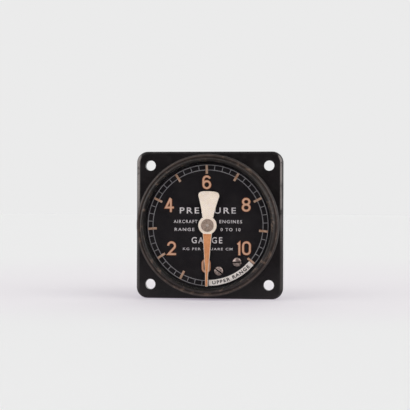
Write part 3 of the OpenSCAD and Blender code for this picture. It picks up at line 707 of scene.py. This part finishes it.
def finishPiece(piece, body, slot, *replaced):
    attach(piece, body)
    if replaced:
        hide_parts(*replaced)


def pick(sizes, names):
    return [sizes[name] for name in names.split()]


def painted(tree, shape, finish):
    real = add(tree, "GeometryNodeRealizeInstances", {0: shape})
    return {"Geometry": addValue(tree, "GeometryNodeSetMaterial", {"Geometry": real, "Material": finish})}


# Geometry nodes: copies of a shape, turned around the dial's axis by a law of their number
def copiesAroundAxis(tree, shape, copies, ring, first, step, growth, gap,
                     firstTurn, turnStep, turnWith, finish):
    number = addValue(tree, "GeometryNodeInputIndex")
    angle = (number * step + first + number * number * growth).math("RADIANS")
    turn = (number * turnStep + firstTurn).math("RADIANS") + angle * turnWith
    outwards = ring * -1
    spot = add(tree, "CombineXYZ", {"X": outwards * angle.math("SINE"), "Z": outwards * angle.math("COSINE")})
    line = add(tree, "GeometryNodeMeshLine", {"Count": copies})
    move = add(tree, "GeometryNodeSetPosition", {"Geometry": line, "Position": spot})
    kept = number.math("MODULO", gap).math("GREATER_THAN", 0.5).most(gap.math("GREATER_THAN", 999.5))
    spread = add(tree, "GeometryNodeInstanceOnPoints",
                 {"Points": move, "Instance": shape, "Selection": kept,
                  "Rotation": add(tree, "CombineXYZ", {"Y": turn})})
    return painted(tree, spread, finish)


# Geometry nodes: a profile turned around the dial's axis, with a screw thread cut where one is asked for
def turnProfile(tree, shape, segments, outer, depth, pitch, middle, length, finish):
    # A grid with one column for each step round and one row for each point of the profile
    count = outputsOf(add(tree, "GeometryNodeAttributeDomainSize", {0: shape}))["Point Count"]
    rows = count + 1.0
    grid = add(tree, "GeometryNodeMeshGrid", {"Vertices X": segments + 1.0, "Vertices Y": rows})
    number = addValue(tree, "GeometryNodeInputIndex")
    column = ((number + 0.5) / rows).math("FLOOR")
    row = (number - column * rows).math("ROUND").math("MODULO", count)
    sample = add(tree, "GeometryNodeSampleIndex",
                 {"Geometry": shape, "Value": add(tree, "GeometryNodeInputPosition"), "Index": row},
                 data_type="FLOAT_VECTOR")
    x, y, z = axes(tree, sample)
    around, height = column.math("MODULO", segments) / segments, y * -1
    # The thread: a groove that climbs one pitch each turn and fades out at both ends
    wave = ((height / pitch + around).math("PINGPONG", 0.5) * 2.0).blend(0.14, 0.86, way="LINEAR")
    room = length * 0.5 - abs(height - middle)
    cut = wave * (room / pitch).blend(0.0, 0.7) * depth
    radius = x.math("MINIMUM", outer - cut + room.math("LESS_THAN", 0.0))
    angle = around * (2 * math.pi)
    spot = add(tree, "CombineXYZ", {"X": radius * angle.math("COSINE"), "Y": y,
                                    "Z": radius * angle.math("SINE")})
    move = add(tree, "GeometryNodeSetPosition", {"Geometry": grid, "Position": spot})
    return painted(tree, add(tree, "GeometryNodeMergeByDistance", {0: move, "Distance": 1e-7}), finish)


copier = makeGroup(copiesAroundAxis, "GeometryNodeTree", geometry="Geometry", copies=3, ringRadius=0.0,
                   firstAngle=0.0, angleStep=30.0, angleGrowth=0.0, leaveOutEvery=1000, firstTurn=0.0,
                   turnStep=0.0, turnWithRing=1.0, finish="Material")
lathe = makeGroup(turnProfile, "GeometryNodeTree", geometry="Geometry", segments=96, threadRadius=1.0,
                  threadDepth=0.0, threadPitch=1.0, threadMiddle=0.0, threadLength=0.0, finish="Material")


def runNodes(piece, group, **values):
    runner = piece.modifiers.new(group.name, "NODES")
    runner.node_group = group
    labels = {inWords(name): value for name, value in values.items()}
    for item in group.interface.items_tree:
        if item.in_out == "INPUT" and item.name in labels:
            runner[item.identifier] = labels[item.name]
    settle(piece)


# Lengths are given in millimetres
def turnPiece(name, profile, finish, segments, **lengths):
    mesh = bpy.data.meshes.new(name)
    edges = [(i, (i + 1) % len(profile)) for i in range(len(profile))]
    mesh.from_pydata([standUp(r, 0, z) * mm for r, z in profile], edges, [])
    piece = putIn(name, mesh)
    lengths = {label: length * mm for label, length in lengths.items()}
    runNodes(piece, lathe, segments=segments, finish=materials[finish], **lengths)
    tidyMesh(piece.data)
    shadeSmooth(piece, 40)
    return piece


# The case: a square flange with a neck in front and a barrel behind, moulded in one
case = {"halfWidth": 30.0, "cornerRadius": 4.5, "edgeRadius": 1.2, "thickness": 3.0, "backEdge": 0.25,
        "boltPitch": 48.5, "boltRadius": 2.1, "countersink": 0.25, "barrelRadius": 27.5, "barrelBack": -28.0,
        "barrelFront": -1.5, "backBevel": 1.2, "cavityRadius": 24.6, "cavityBack": -25.0, "neckRadius": 27.2,
        "neckTop": 6.7, "seat": 4.6, "pocketRadius": 25.9, "recessRadius": 28.65, "recessDepth": 0.3,
        "studHole": 4.1, "screwHole": 1.3, "screwRing": 11.0, "screwAngles": (30, 150, 270), "holeEdge": 0.2,
        "segments": 192}
past = 1.0   # how far a cutter stands out of what it cuts


def squareOutline(inset, steps=14):
    half, corner = case["halfWidth"] - inset, max(case["cornerRadius"] - inset, 0.4)
    outline = []
    for k, (x, y) in enumerate(((1, 1), (-1, 1), (-1, -1), (1, -1))):
        outline += arc((x * (half - corner), y * (half - corner)), corner, 90 * k, 90 * k + 90, steps)
    return outline


def holeCutter(centre, radius, low, high, bevel):
    wide = radius + bevel + past
    return turned([(0, low - past), (wide, low - past), (radius, low + bevel), (radius, high - bevel),
                   (wide, high + past), (0, high + past)], 48, centre=centre)


def makeCase():
    edge, thick, rear, around = pick(case, "edgeRadius thickness backEdge segments")
    levels = [(rear, -thick), (0.0, -thick + rear)]
    levels += [(edge - x, y - edge) for x, y in arc((0, 0), edge, 0, 90, 9)]
    points = [(x, y, height) for inset, height in levels for x, y in squareOutline(inset)]
    count = len(points) // len(levels)
    faces = [(k + i, k + (i + 1) % count, k + count + (i + 1) % count, k + count + i)
             for k in range(0, len(points) - count, count) for i in range(count)]
    faces += [tuple(reversed(range(count))), tuple(range(len(points) - count, len(points)))]
    body = addPiece("gauge_case", (points, faces), "moulded_black")
    back, bevel, neck, top = pick(case, "barrelBack backBevel neckRadius neckTop")
    wide, front = case["barrelRadius"], case["barrelFront"]
    barrel = [(0, back)] + arc((wide - bevel, back + bevel), bevel, -90, 0, 6)
    barrel += [(wide, front), (neck, front + 0.1), (neck, top), (0, top)]
    carve(body, addPiece("barrel", turned(barrel, around), "moulded_black"), "UNION")
    floor, inner, pocket, seat = pick(case, "cavityBack cavityRadius pocketRadius seat")
    cavity = turned([(0, floor), (inner, floor), (inner, seat), (pocket, seat), (pocket, top + past),
                     (0, top + past)], around)
    low, wide = -case["recessDepth"], case["recessRadius"]
    recess = turned([(neck, low), (wide, low), (wide, past), (neck, past)], around, closed=True)
    cutters, half = [cavity, recess], case["boltPitch"] / 2
    for x in (-half, half):
        for y in (-half, half):
            cutters.append(holeCutter((x, y), case["boltRadius"], -thick, 0, case["countersink"]))
    holes = [((0, 0), case["studHole"])]
    holes += [(polar(case["screwRing"], angle), case["screwHole"]) for angle in case["screwAngles"]]
    cutters += [holeCutter(centre, radius, back, floor, case["holeEdge"]) for centre, radius in holes]
    for shape in cutters:
        carve(body, addPiece("cutter", shape, "moulded_black"))
    shadeSmooth(body, 40)
    finishPiece(body, "root", "case_moulding", "case")


makeCase()
print("case moulded")

# The bezel ring and the pane that it holds
ring = {"innerRadius": 25.55, "neckRadius": 27.25, "outerRadius": 28.6, "foot": -0.2, "footBevel": 0.3,
        "straightTop": 3.5, "shoulderRadius": 0.9, "shoulderHeight": 7.5, "shoulderEnd": 114,
        "beadRadius": 0.6, "beadHeight": 9.3, "grooveFoot": (0.12, 0.36), "glassTop": 9.1,
        "glassRadius": 26.2, "neckTop": 6.8, "segments": 288}
pane = {"radius": 26.1, "low": 7.6, "high": 9.1, "bevel": 0.2, "segments": 192}


def makeRing():
    outer, inner, neck, foot, edge = pick(ring, "outerRadius innerRadius neckRadius foot footBevel")
    profile = [(neck, foot), (outer - edge, foot), (outer, foot + edge), (outer, ring["straightTop"])]
    shoulder, bead = ring["shoulderRadius"], ring["beadRadius"]
    profile += arc((outer - shoulder, ring["shoulderHeight"]), shoulder, 0, ring["shoulderEnd"], 18)
    crown = arc((inner + bead, ring["beadHeight"]), bead, 0, 180, 20)
    outwards, down = ring["grooveFoot"]
    profile += [(crown[0][0] + outwards, crown[0][1] - down)] + crown
    rest, wide, top = pick(ring, "glassTop glassRadius neckTop")
    profile += [(inner, rest), (wide, rest), (wide, top), (neck, top)]
    bezel = turnPiece("bezel", profile, "ring_paint", ring["segments"])
    finishPiece(bezel, "root", "bezel_paint", "bezel_ring")


def makeGlass():
    radius, low, high, edge, segments = pane.values()
    profile = [(0, low), (radius - edge, low), (radius, low + edge), (radius, high - edge),
               (radius - edge, high), (0, high)]
    glass = addPiece("glass_pane", turned(profile, segments), "window_glass")
    finishPiece(glass, "root", "window_glass", "glass")


makeRing()
makeGlass()
print("ring and glass fitted")

# The dial's printing stands a hair above the plate. Angles run clockwise from straight down
scale = {"outer": 24.25, "inner": 22.24, "line": 0.3, "majorInner": 20.75, "majorWidth": 0.9,
         "zeroAngle": -1.5, "unitAngle": 28.55, "unitGrowth": 0.25, "units": 10, "ink": 0.04, "lume": 0.06,
         "restMark": 1.1}
printFoot = dialTop - 0.02


def clockArc(radius, start, end, steps):
    return arc((0, 0), radius, -90 - start, -90 - end, steps)


def makeScale():
    zero, unit, growth, units = pick(scale, "zeroAngle unitAngle unitGrowth units")
    outer, inner, line, high = scale["outer"], scale["inner"], scale["line"], dialTop + scale["ink"]
    last = zero + unit * units + growth * units ** 2
    circles = joinShapes([stroke(clockArc(radius, zero, last, 220), paintSection(line, printFoot, high))
                          for radius in (outer, inner)])
    finishPiece(addPiece("scale_circles", circles, "scale_ink"), "root", "dial_paint")
    minor = stroke([(0, -outer + line / 2), (0, -inner - line / 2)],
                   paintSection(line, printFoot, high - 0.005))
    major = stroke([(0, -outer), (0, -scale["majorInner"])],
                   paintSection(scale["majorWidth"], printFoot, high + 0.01, scale["lume"]))
    # The first mark stands under the pointer at rest, and the others follow the law from one unit on
    law, fine = (unit + 2 * growth, growth, 1000), (unit / 4, growth / 16, 4)
    for name, shape, copies, angle, (step, gain, gap), finish, slot in (
            ("minor_ticks", minor, 4 * units + 1, zero, fine, "scale_ink", "dial_paint"),
            ("zero_tick", major, 1, scale["restMark"], law, "mark_paint", "lume"),
            ("major_ticks", major, units, zero + unit + growth, law, "mark_paint", "lume")):
        piece = addPiece(name, shape, finish)
        runNodes(piece, copier, copies=copies, firstAngle=angle, angleStep=step, angleGrowth=gain,
                 leaveOutEvery=gap, finish=materials[finish])
        finishPiece(piece, "root", slot)


makeScale()

# Each figure is a few strokes around its own centre, placed across and up from the dial's. Spacing parts the
# two signs of 10
figures = {"height": 5.7, "width": 3.7, "weight": 0.95, "thickness": 0.03, "crown": 0.05, "spacing": 2.85,
           "places": {"0": (-0.6, -16.3), "2": (-14.65, -9.3), "4": (-15.6, 8.1), "6": (-0.45, 17.3),
                      "8": (15.45, 8.3), "10": (14.2, -9.1)}}


def oval(middle, tall, broad, start=0, end=360, steps=36):
    points = [(x * broad, middle + y * tall) for x, y in arc((0, 0), 1, start, end, steps)]
    return points if end - start < 360 else points[:-1]


# Each stroke is a path, and whether it closes on itself
def figureStrokes(sign):
    half = figures["weight"] / 2
    y, x = figures["height"] / 2 - half, figures["width"] / 2 - half
    return {"0": [(oval(y - x, x, x, 0, 180, 20) + oval(x - y, x, x, 180, 360, 20), True)],
            "1": [([(-x * 0.55, y * 0.62), (0, y * 0.9), (0, -y - half)], False)],
            "2": [([(-x, y * 0.42)] + oval(y - x, x, x, 172, -30, 22) + [(-x * 0.92, -y), (x + half, -y)],
                   False)],
            "4": [([(x * 0.35, y + half), (-x, -y * 0.42), (x + half, -y * 0.42)], False),
                  ([(x * 0.45, y), (x * 0.45, -y - half)], False)],
            "6": [(oval(-y + x * 1.02, x * 1.02, x), True),
                  ([(x * 0.9, y * 0.62)] + oval(y - x, x, x, 40, 180, 16) + [(-x, -y + x * 1.02)], False)],
            "8": [(oval(-y * 0.48, y * 0.52, x), True), (oval(y * 0.52, y * 0.48, x * 0.92), True)]}[sign]


def makeFigures():
    section = paintSection(figures["weight"], printFoot, dialTop + figures["thickness"], figures["crown"])
    for label, (x, y) in figures["places"].items():
        parts = []
        for k, sign in enumerate(label):
            shift = x + (k - (len(label) - 1) / 2) * figures["spacing"]
            for path, closed in figureStrokes(sign):
                moved = [(px + shift, py + y) for px, py in path]
                parts.append(addPiece("figure_" + label, stroke(moved, section, closed), "lume_paint"))
        for part in parts[1:]:
            carve(parts[0], part, "UNION")
        shadeSmooth(parts[0], 40)
        finishPiece(parts[0], "root", "lume")


makeFigures()
print("scale and figures printed")

# The dial's words: text, middle across and up, width, height of the capitals
words = {"lines": [("PRESSURE", 0.0, 5.95, 22.7, 2.45), ("AIRCRAFT", -9.0, 1.5, 9.6, 1.3),
                   ("ENGINES", 9.25, 1.5, 9.1, 1.3), ("RANGE", -9.4, -1.7, 8.0, 1.25),
                   ("0 TO 10", 9.2, -1.7, 8.0, 1.25), ("GAUGE", -0.3, -6.0, 12.4, 2.5),
                   ("KG PER SQUARE CM", 0.0, -9.6, 20.0, 1.15)],
         "ink": 0.035, "weight": 0.01, "spacing": 1.3}
# The cream band beyond the last mark, with its words bent along it
band = {"start": 310.5, "end": 359.0, "inner": 21.95, "outer": 24.3, "thickness": 0.03, "text": "UPPER RANGE",
        "textHeight": 1.4, "textLength": 16.6, "textWeight": 0.035, "textSunk": 0.01, "ink": 0.03}


def letters(text, wide, tall, low, high, weight):
    holder = putIn("letters", setAll(bpy.data.curves.new(text, "FONT"), body=text, offset=weight, extrude=0.5,
                                     space_character=words["spacing"], resolution_u=4))
    mesh = bpy.data.meshes.new_from_object(holder.evaluated_get(bpy.context.evaluated_depsgraph_get()))
    bpy.data.objects.remove(holder)
    xs, ys = [v.co.x for v in mesh.vertices], [v.co.y for v in mesh.vertices]
    left, right, foot, top = min(xs), max(xs), min(ys), max(ys)
    points = [((v.co.x - (left + right) / 2) / (right - left) * wide,
               (v.co.y - (foot + top) / 2) / (top - foot) * tall, low + (high - low) * (v.co.z + 0.5))
              for v in mesh.vertices]
    return points, [tuple(face.vertices) for face in mesh.polygons]


def makeWords():
    lines = []
    for text, x, y, wide, tall in words["lines"]:
        points, faces = letters(text, wide, tall, printFoot, dialTop + words["ink"], words["weight"])
        lines.append(([(px + x, py + y, pz) for px, py, pz in points], faces))
    finishPiece(addPiece("dial_words", joinShapes(lines), "word_white"), "root", "dial_paint")


def makeBand():
    start, end, outer, inner = pick(band, "start end outer inner")
    middle, centre, high = (outer + inner) / 2, (start + end) / 2, dialTop + band["thickness"]
    strip = stroke(clockArc(middle, start, end, 60), paintSection(outer - inner, printFoot, high))
    finishPiece(addPiece("band", strip, "band_cream"), "root", "dial_paint")
    text, long, tall, weight = pick(band, "text textLength textHeight textWeight")
    points, faces = letters(text, long, tall, high - band["textSunk"], high + band["ink"], weight)
    bent = [(*polar(middle - y, math.degrees(x / middle) - centre - 90), z) for x, y, z in points]
    finishPiece(addPiece("band_words", (bent, faces), "band_ink"), "root", "dial_paint")


makeWords()
makeBand()
print("words lettered")

# Slotted screws: the dial's two, and the three that hold the works to the case's back
dialScrew = {"copies": 2, "ring": 18.9, "firstAngle": -38.9, "angleStep": 25.1, "firstTurn": -4.0,
             "turnStep": 39.0, "headRadius": 1.85, "headHeight": 0.7, "slotWidth": 0.55, "slotDepth": 0.5,
             "shankRadius": 1.0, "shankLength": 3.8}
backScrew = {"copies": 3, "ring": 11.0, "firstAngle": -120.0, "angleStep": -120.0, "firstTurn": 25.0,
             "turnStep": 70.0, "headRadius": 2.1, "headHeight": 1.4, "slotWidth": 0.6, "slotDepth": 0.6,
             "shankRadius": 1.2, "shankLength": 6.0}
screwEdges = {"rimShare": 0.28, "head": 0.08, "point": 0.3, "slot": 0.04}


def makeScrews(name, screw, seat, outwards, finish, node):
    radius, tall, shank, deep = pick(screw, "headRadius headHeight shankRadius shankLength")
    rim, foot, point = tall * screwEdges["rimShare"], screwEdges["head"], screwEdges["point"]
    side = [(0, tall)] + [(x, rim + y * (tall - rim) / radius) for y, x in arc((0, 0), radius, 8, 80, 9)]
    side += [(radius, rim), (radius, foot), (radius - foot, 0), (shank, 0), (shank, -deep + point),
             (shank - point, -deep), (0, -deep)]
    piece = addPiece(name, turned([(r, seat + z * outwards) for r, z in side], 48), finish)
    half, long, floor = screw["slotWidth"] / 2, radius + past, seat + (tall - screw["slotDepth"]) * outwards
    slot = prism([[(-long, -half), (long, -half), (long, half), (-long, half)]],
                 *sorted((floor, floor + 2 * past * outwards)))
    carve(piece, addPiece("slot", slot, finish))
    soften(piece, screwEdges["slot"], 2, 50)
    shadeSmooth(piece)
    law = {key: screw[key] for key in ("copies", "firstAngle", "angleStep", "firstTurn", "turnStep")}
    runNodes(piece, copier, ringRadius=screw["ring"] * mm, turnWithRing=0.0, finish=materials[finish], **law)
    finishPiece(piece, "root", "screw_steel", node)


makeScrews("dial_fixings", dialScrew, dialTop, 1, "dial_screw_steel", "dial_screws")
makeScrews("back_fixings", backScrew, case["barrelBack"], -1, "plated_steel", "back_screws")
print("screws driven")

# The pointer: blade, round hub and flared tail cut from one sheet, with luminous paint on the blade. The
# blade's outline is half its width at shares of its length
pointer = {"low": 6.3, "high": 6.8, "length": 24.6, "tipWidth": 1.0, "bladeWidth": 3.6, "hubRadius": 3.68,
           "neckWidth": 4.5, "tailWidth": 8.4, "tailLength": 13.7, "tailCorner": 1.5, "tailCurve": 1.23,
           "boreRadius": 1.68, "bladeLean": 0.8, "tailLean": 2.5, "edge": 0.14, "lumeInset": 0.17,
           "lumeHeight": 0.12, "lumeEdge": 0.1, "lumeTop": 3.45}
cap = {"bore": 0.61, "stem": 1.657, "wide": 2.55, "foot": 0.35, "top": 0.4, "bevel": 0.1, "topBevel": 0.16,
       "boreBevel": 0.06}


def bladeSide(inset):
    tip, half, long = pointer["tipWidth"] / 2, pointer["bladeWidth"] / 2, pointer["length"]
    return [(tip - inset * 0.6, -long + inset * 1.6), (tip + 0.08 - inset, -long * 0.8),
            (half * 0.6 - inset, -long * 0.53), (half * 0.755 - inset, -long * 0.36),
            (half - inset, -pointer["hubRadius"] * 0.9)]


def tailSide():
    low, long, corner, curve = pick(pointer, "hubRadius tailLength tailCorner tailCurve")
    neck, wide, high = pointer["neckWidth"] / 2, pointer["tailWidth"] / 2, long - 2
    side = []
    for i in range(13):
        y = low * 0.9 + (high - low * 0.9) * i / 12
        side.append((neck + (wide - neck) * max(0.0, (y - low) / (high - low)) ** curve, y))
    side += arc((wide - corner, long - 0.22 - corner), corner, 0, 84, 9)
    return side + [(wide / 2, long - 0.05), (0, long)]


def mirrored(side):
    return side + [(-x, y) for x, y in reversed(side) if x > 1e-6]


# The tail was set a little off the blade's line
def leaned(points):
    moved = []
    for x, y in points:
        lean = -math.radians(pointer["tailLean"] if y > 0 else pointer["bladeLean"])
        moved.append((x * math.cos(lean) - y * math.sin(lean), x * math.sin(lean) + y * math.cos(lean)))
    return moved


def makePointer():
    hub, foot, top = pick(pointer, "hubRadius low high")
    blade, tail = bladeSide(0), tailSide()
    low, high = (math.degrees(math.asin(y / hub)) for y in (blade[-1][1], tail[0][1]))
    outline = mirrored(blade + arc((0, 0), hub, low + 4, high - 4, 24) + tail)
    sheet = prism([leaned(outline), arc((0, 0), pointer["boreRadius"], 0, 352.5, 47)], foot, top)
    sheet = addPiece("pointer_sheet", sheet, "pointer_cream", pointer["edge"])
    finishPiece(sheet, "pointer", "pointer_paint", "pointer_blade")
    side = bladeSide(pointer["lumeInset"])
    side[-1] = (side[-1][0], -pointer["lumeTop"])
    paint = prism([leaned(mirrored(side))], top - 0.02, top + pointer["lumeHeight"])
    paint = addPiece("blade_paint", paint, "blade_lume", pointer["lumeEdge"])
    finishPiece(paint, "pointer", "lume", "pointer_lume")


def makeCap():
    bore, stem, wide, rise, lift, bevel, curve, small = cap.values()
    foot, top, low, high = dialTop + rise, pointer["high"] + lift, pointer["low"], pointer["high"]
    profile = [(bore, foot), (wide - bevel, foot), (wide, foot + bevel), (wide, low), (stem, low),
               (stem, high), (wide, high)]
    profile += arc((wide - curve, top - curve), curve, 0, 90, 6) + [(bore + small, top), (bore, top - small)]
    finishPiece(turnPiece("pointer_cap", profile, "turned_cap", 96), "pointer", "cap_metal", "hub_boss")


makePointer()
makeCap()
print("pointer set")

# The oil pipe's union, with its thread, and the washer under its hexagon
union = {"tip": -44.0, "hexBack": -34.0, "hexFront": -29.0, "studTop": -21.0, "studRadius": 4.0,
         "threadRadius": 4.86, "threadDepth": 0.58, "threadPitch": 0.907, "chamfer": 0.8, "boreRadius": 2.0,
         "edge": 0.3, "acrossFlats": 14.0, "hexChamfer": 0.62, "hexEdge": 0.08, "washerRadius": 6.9,
         "washerBore": 4.1, "washerTop": -28.0, "washerEdge": 0.3}


def makeUnion():
    radius, tip, pitch, edge, chamfer = pick(union, "threadRadius tip threadPitch edge chamfer")
    stud, bore, top, low, high = pick(union, "studRadius boreRadius studTop hexBack hexFront")
    start, end = tip + chamfer, low + 0.4
    rows = int((end - start) / pitch * 12)
    profile = [(bore + edge, tip), (radius - chamfer, tip)]
    profile += [(radius, start + (end - start) * i / rows) for i in range(rows + 1)]
    profile += [(stud, high - 0.5), (stud, top - edge), (stud - edge, top), (bore, top), (bore, tip + edge)]
    length = low - tip - 0.5
    piece = turnPiece("pipe_union", profile, "tarnished_brass", 96, threadRadius=radius,
                      threadDepth=union["threadDepth"], threadPitch=pitch,
                      threadMiddle=tip + 0.2 + length / 2, threadLength=length)
    flat, bevel = union["acrossFlats"] / 2, union["hexChamfer"]
    corner, inner, outer = flat / math.cos(math.radians(30)), bore + 0.8, flat - 0.25
    nut = prism([arc((0, 0), corner, 30, 330, 5), arc((0, 0), bore + 1.2, 0, 352.5, 47)], low, high)
    nut = addPiece("hexagon", nut, "tarnished_brass")
    blank = turned([(inner, low - 0.01), (outer, low - 0.01), (corner, low + bevel), (corner, high - bevel),
                    (outer, high + 0.01), (inner, high + 0.01)], closed=True)
    carve(nut, addPiece("blank", blank, "tarnished_brass"), "INTERSECT")
    soften(nut, union["hexEdge"], 2, 25)
    joinPieces(piece, nut)
    shadeSmooth(piece, 30)
    finishPiece(piece, "root", "movement_brass", "union_nipple")


def makeWasher():
    low, high, wide, bore, edge = pick(union, "hexFront washerTop washerRadius washerBore washerEdge")
    seal = [(bore, low), (wide - edge / 2, low)] + arc((wide - edge, (low + high) / 2), edge, -60, 60, 8)
    seal += [(wide - edge / 2, high), (bore, high)]
    finishPiece(turnPiece("union_seal", seal, "red_fibre", 96), "root", "fibre", "union_washer")


makeUnion()
makeWasher()
print("union threaded")

# The pressure tube, copied from the built part, and the points where it stays still and where its tip moves
tube = {"stillPoint": (0.0, -10.0), "movingPoint": (15.5, 12.6)}


def makeTube():
    mesh = nodes["bourdon_tube"].data.copy()
    tidyMesh(mesh, turnFaces=False)
    mesh.materials.clear()
    mesh.materials.append(materials["tube_bronze"])
    piece = putIn("pressure_tube", mesh)
    shadeSmooth(piece)
    still, moving = (tuple(standUp(*spot, 0) * mm) for spot in tube.values())
    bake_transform(piece)
    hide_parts("bourdon_tube")


makeTube()

# The pieces that stay as built get their finishes here, and those not named are brass
cadFinishes = {"glass_gasket": "seal_rubber", "spacer_ring": "spacer_black", "dial_plate": "dial_black",
               "socket_gasket": "red_fibre", "hairspring": "blued_spring", "pointer_arbor": "arbor_end"}
for name in ("pinion", "sector_arbor", "tail_pin", "tip_pin", "sector_stop_pin",
             "front_plate_screws", "back_plate_screws"):
    cadFinishes[name] = "bright_steel"
for name, node in nodes.items():
    for slot in node.material_slots:
        slot.material = materials[cadFinishes.get(name, "movement_brass")]
print("works finished")
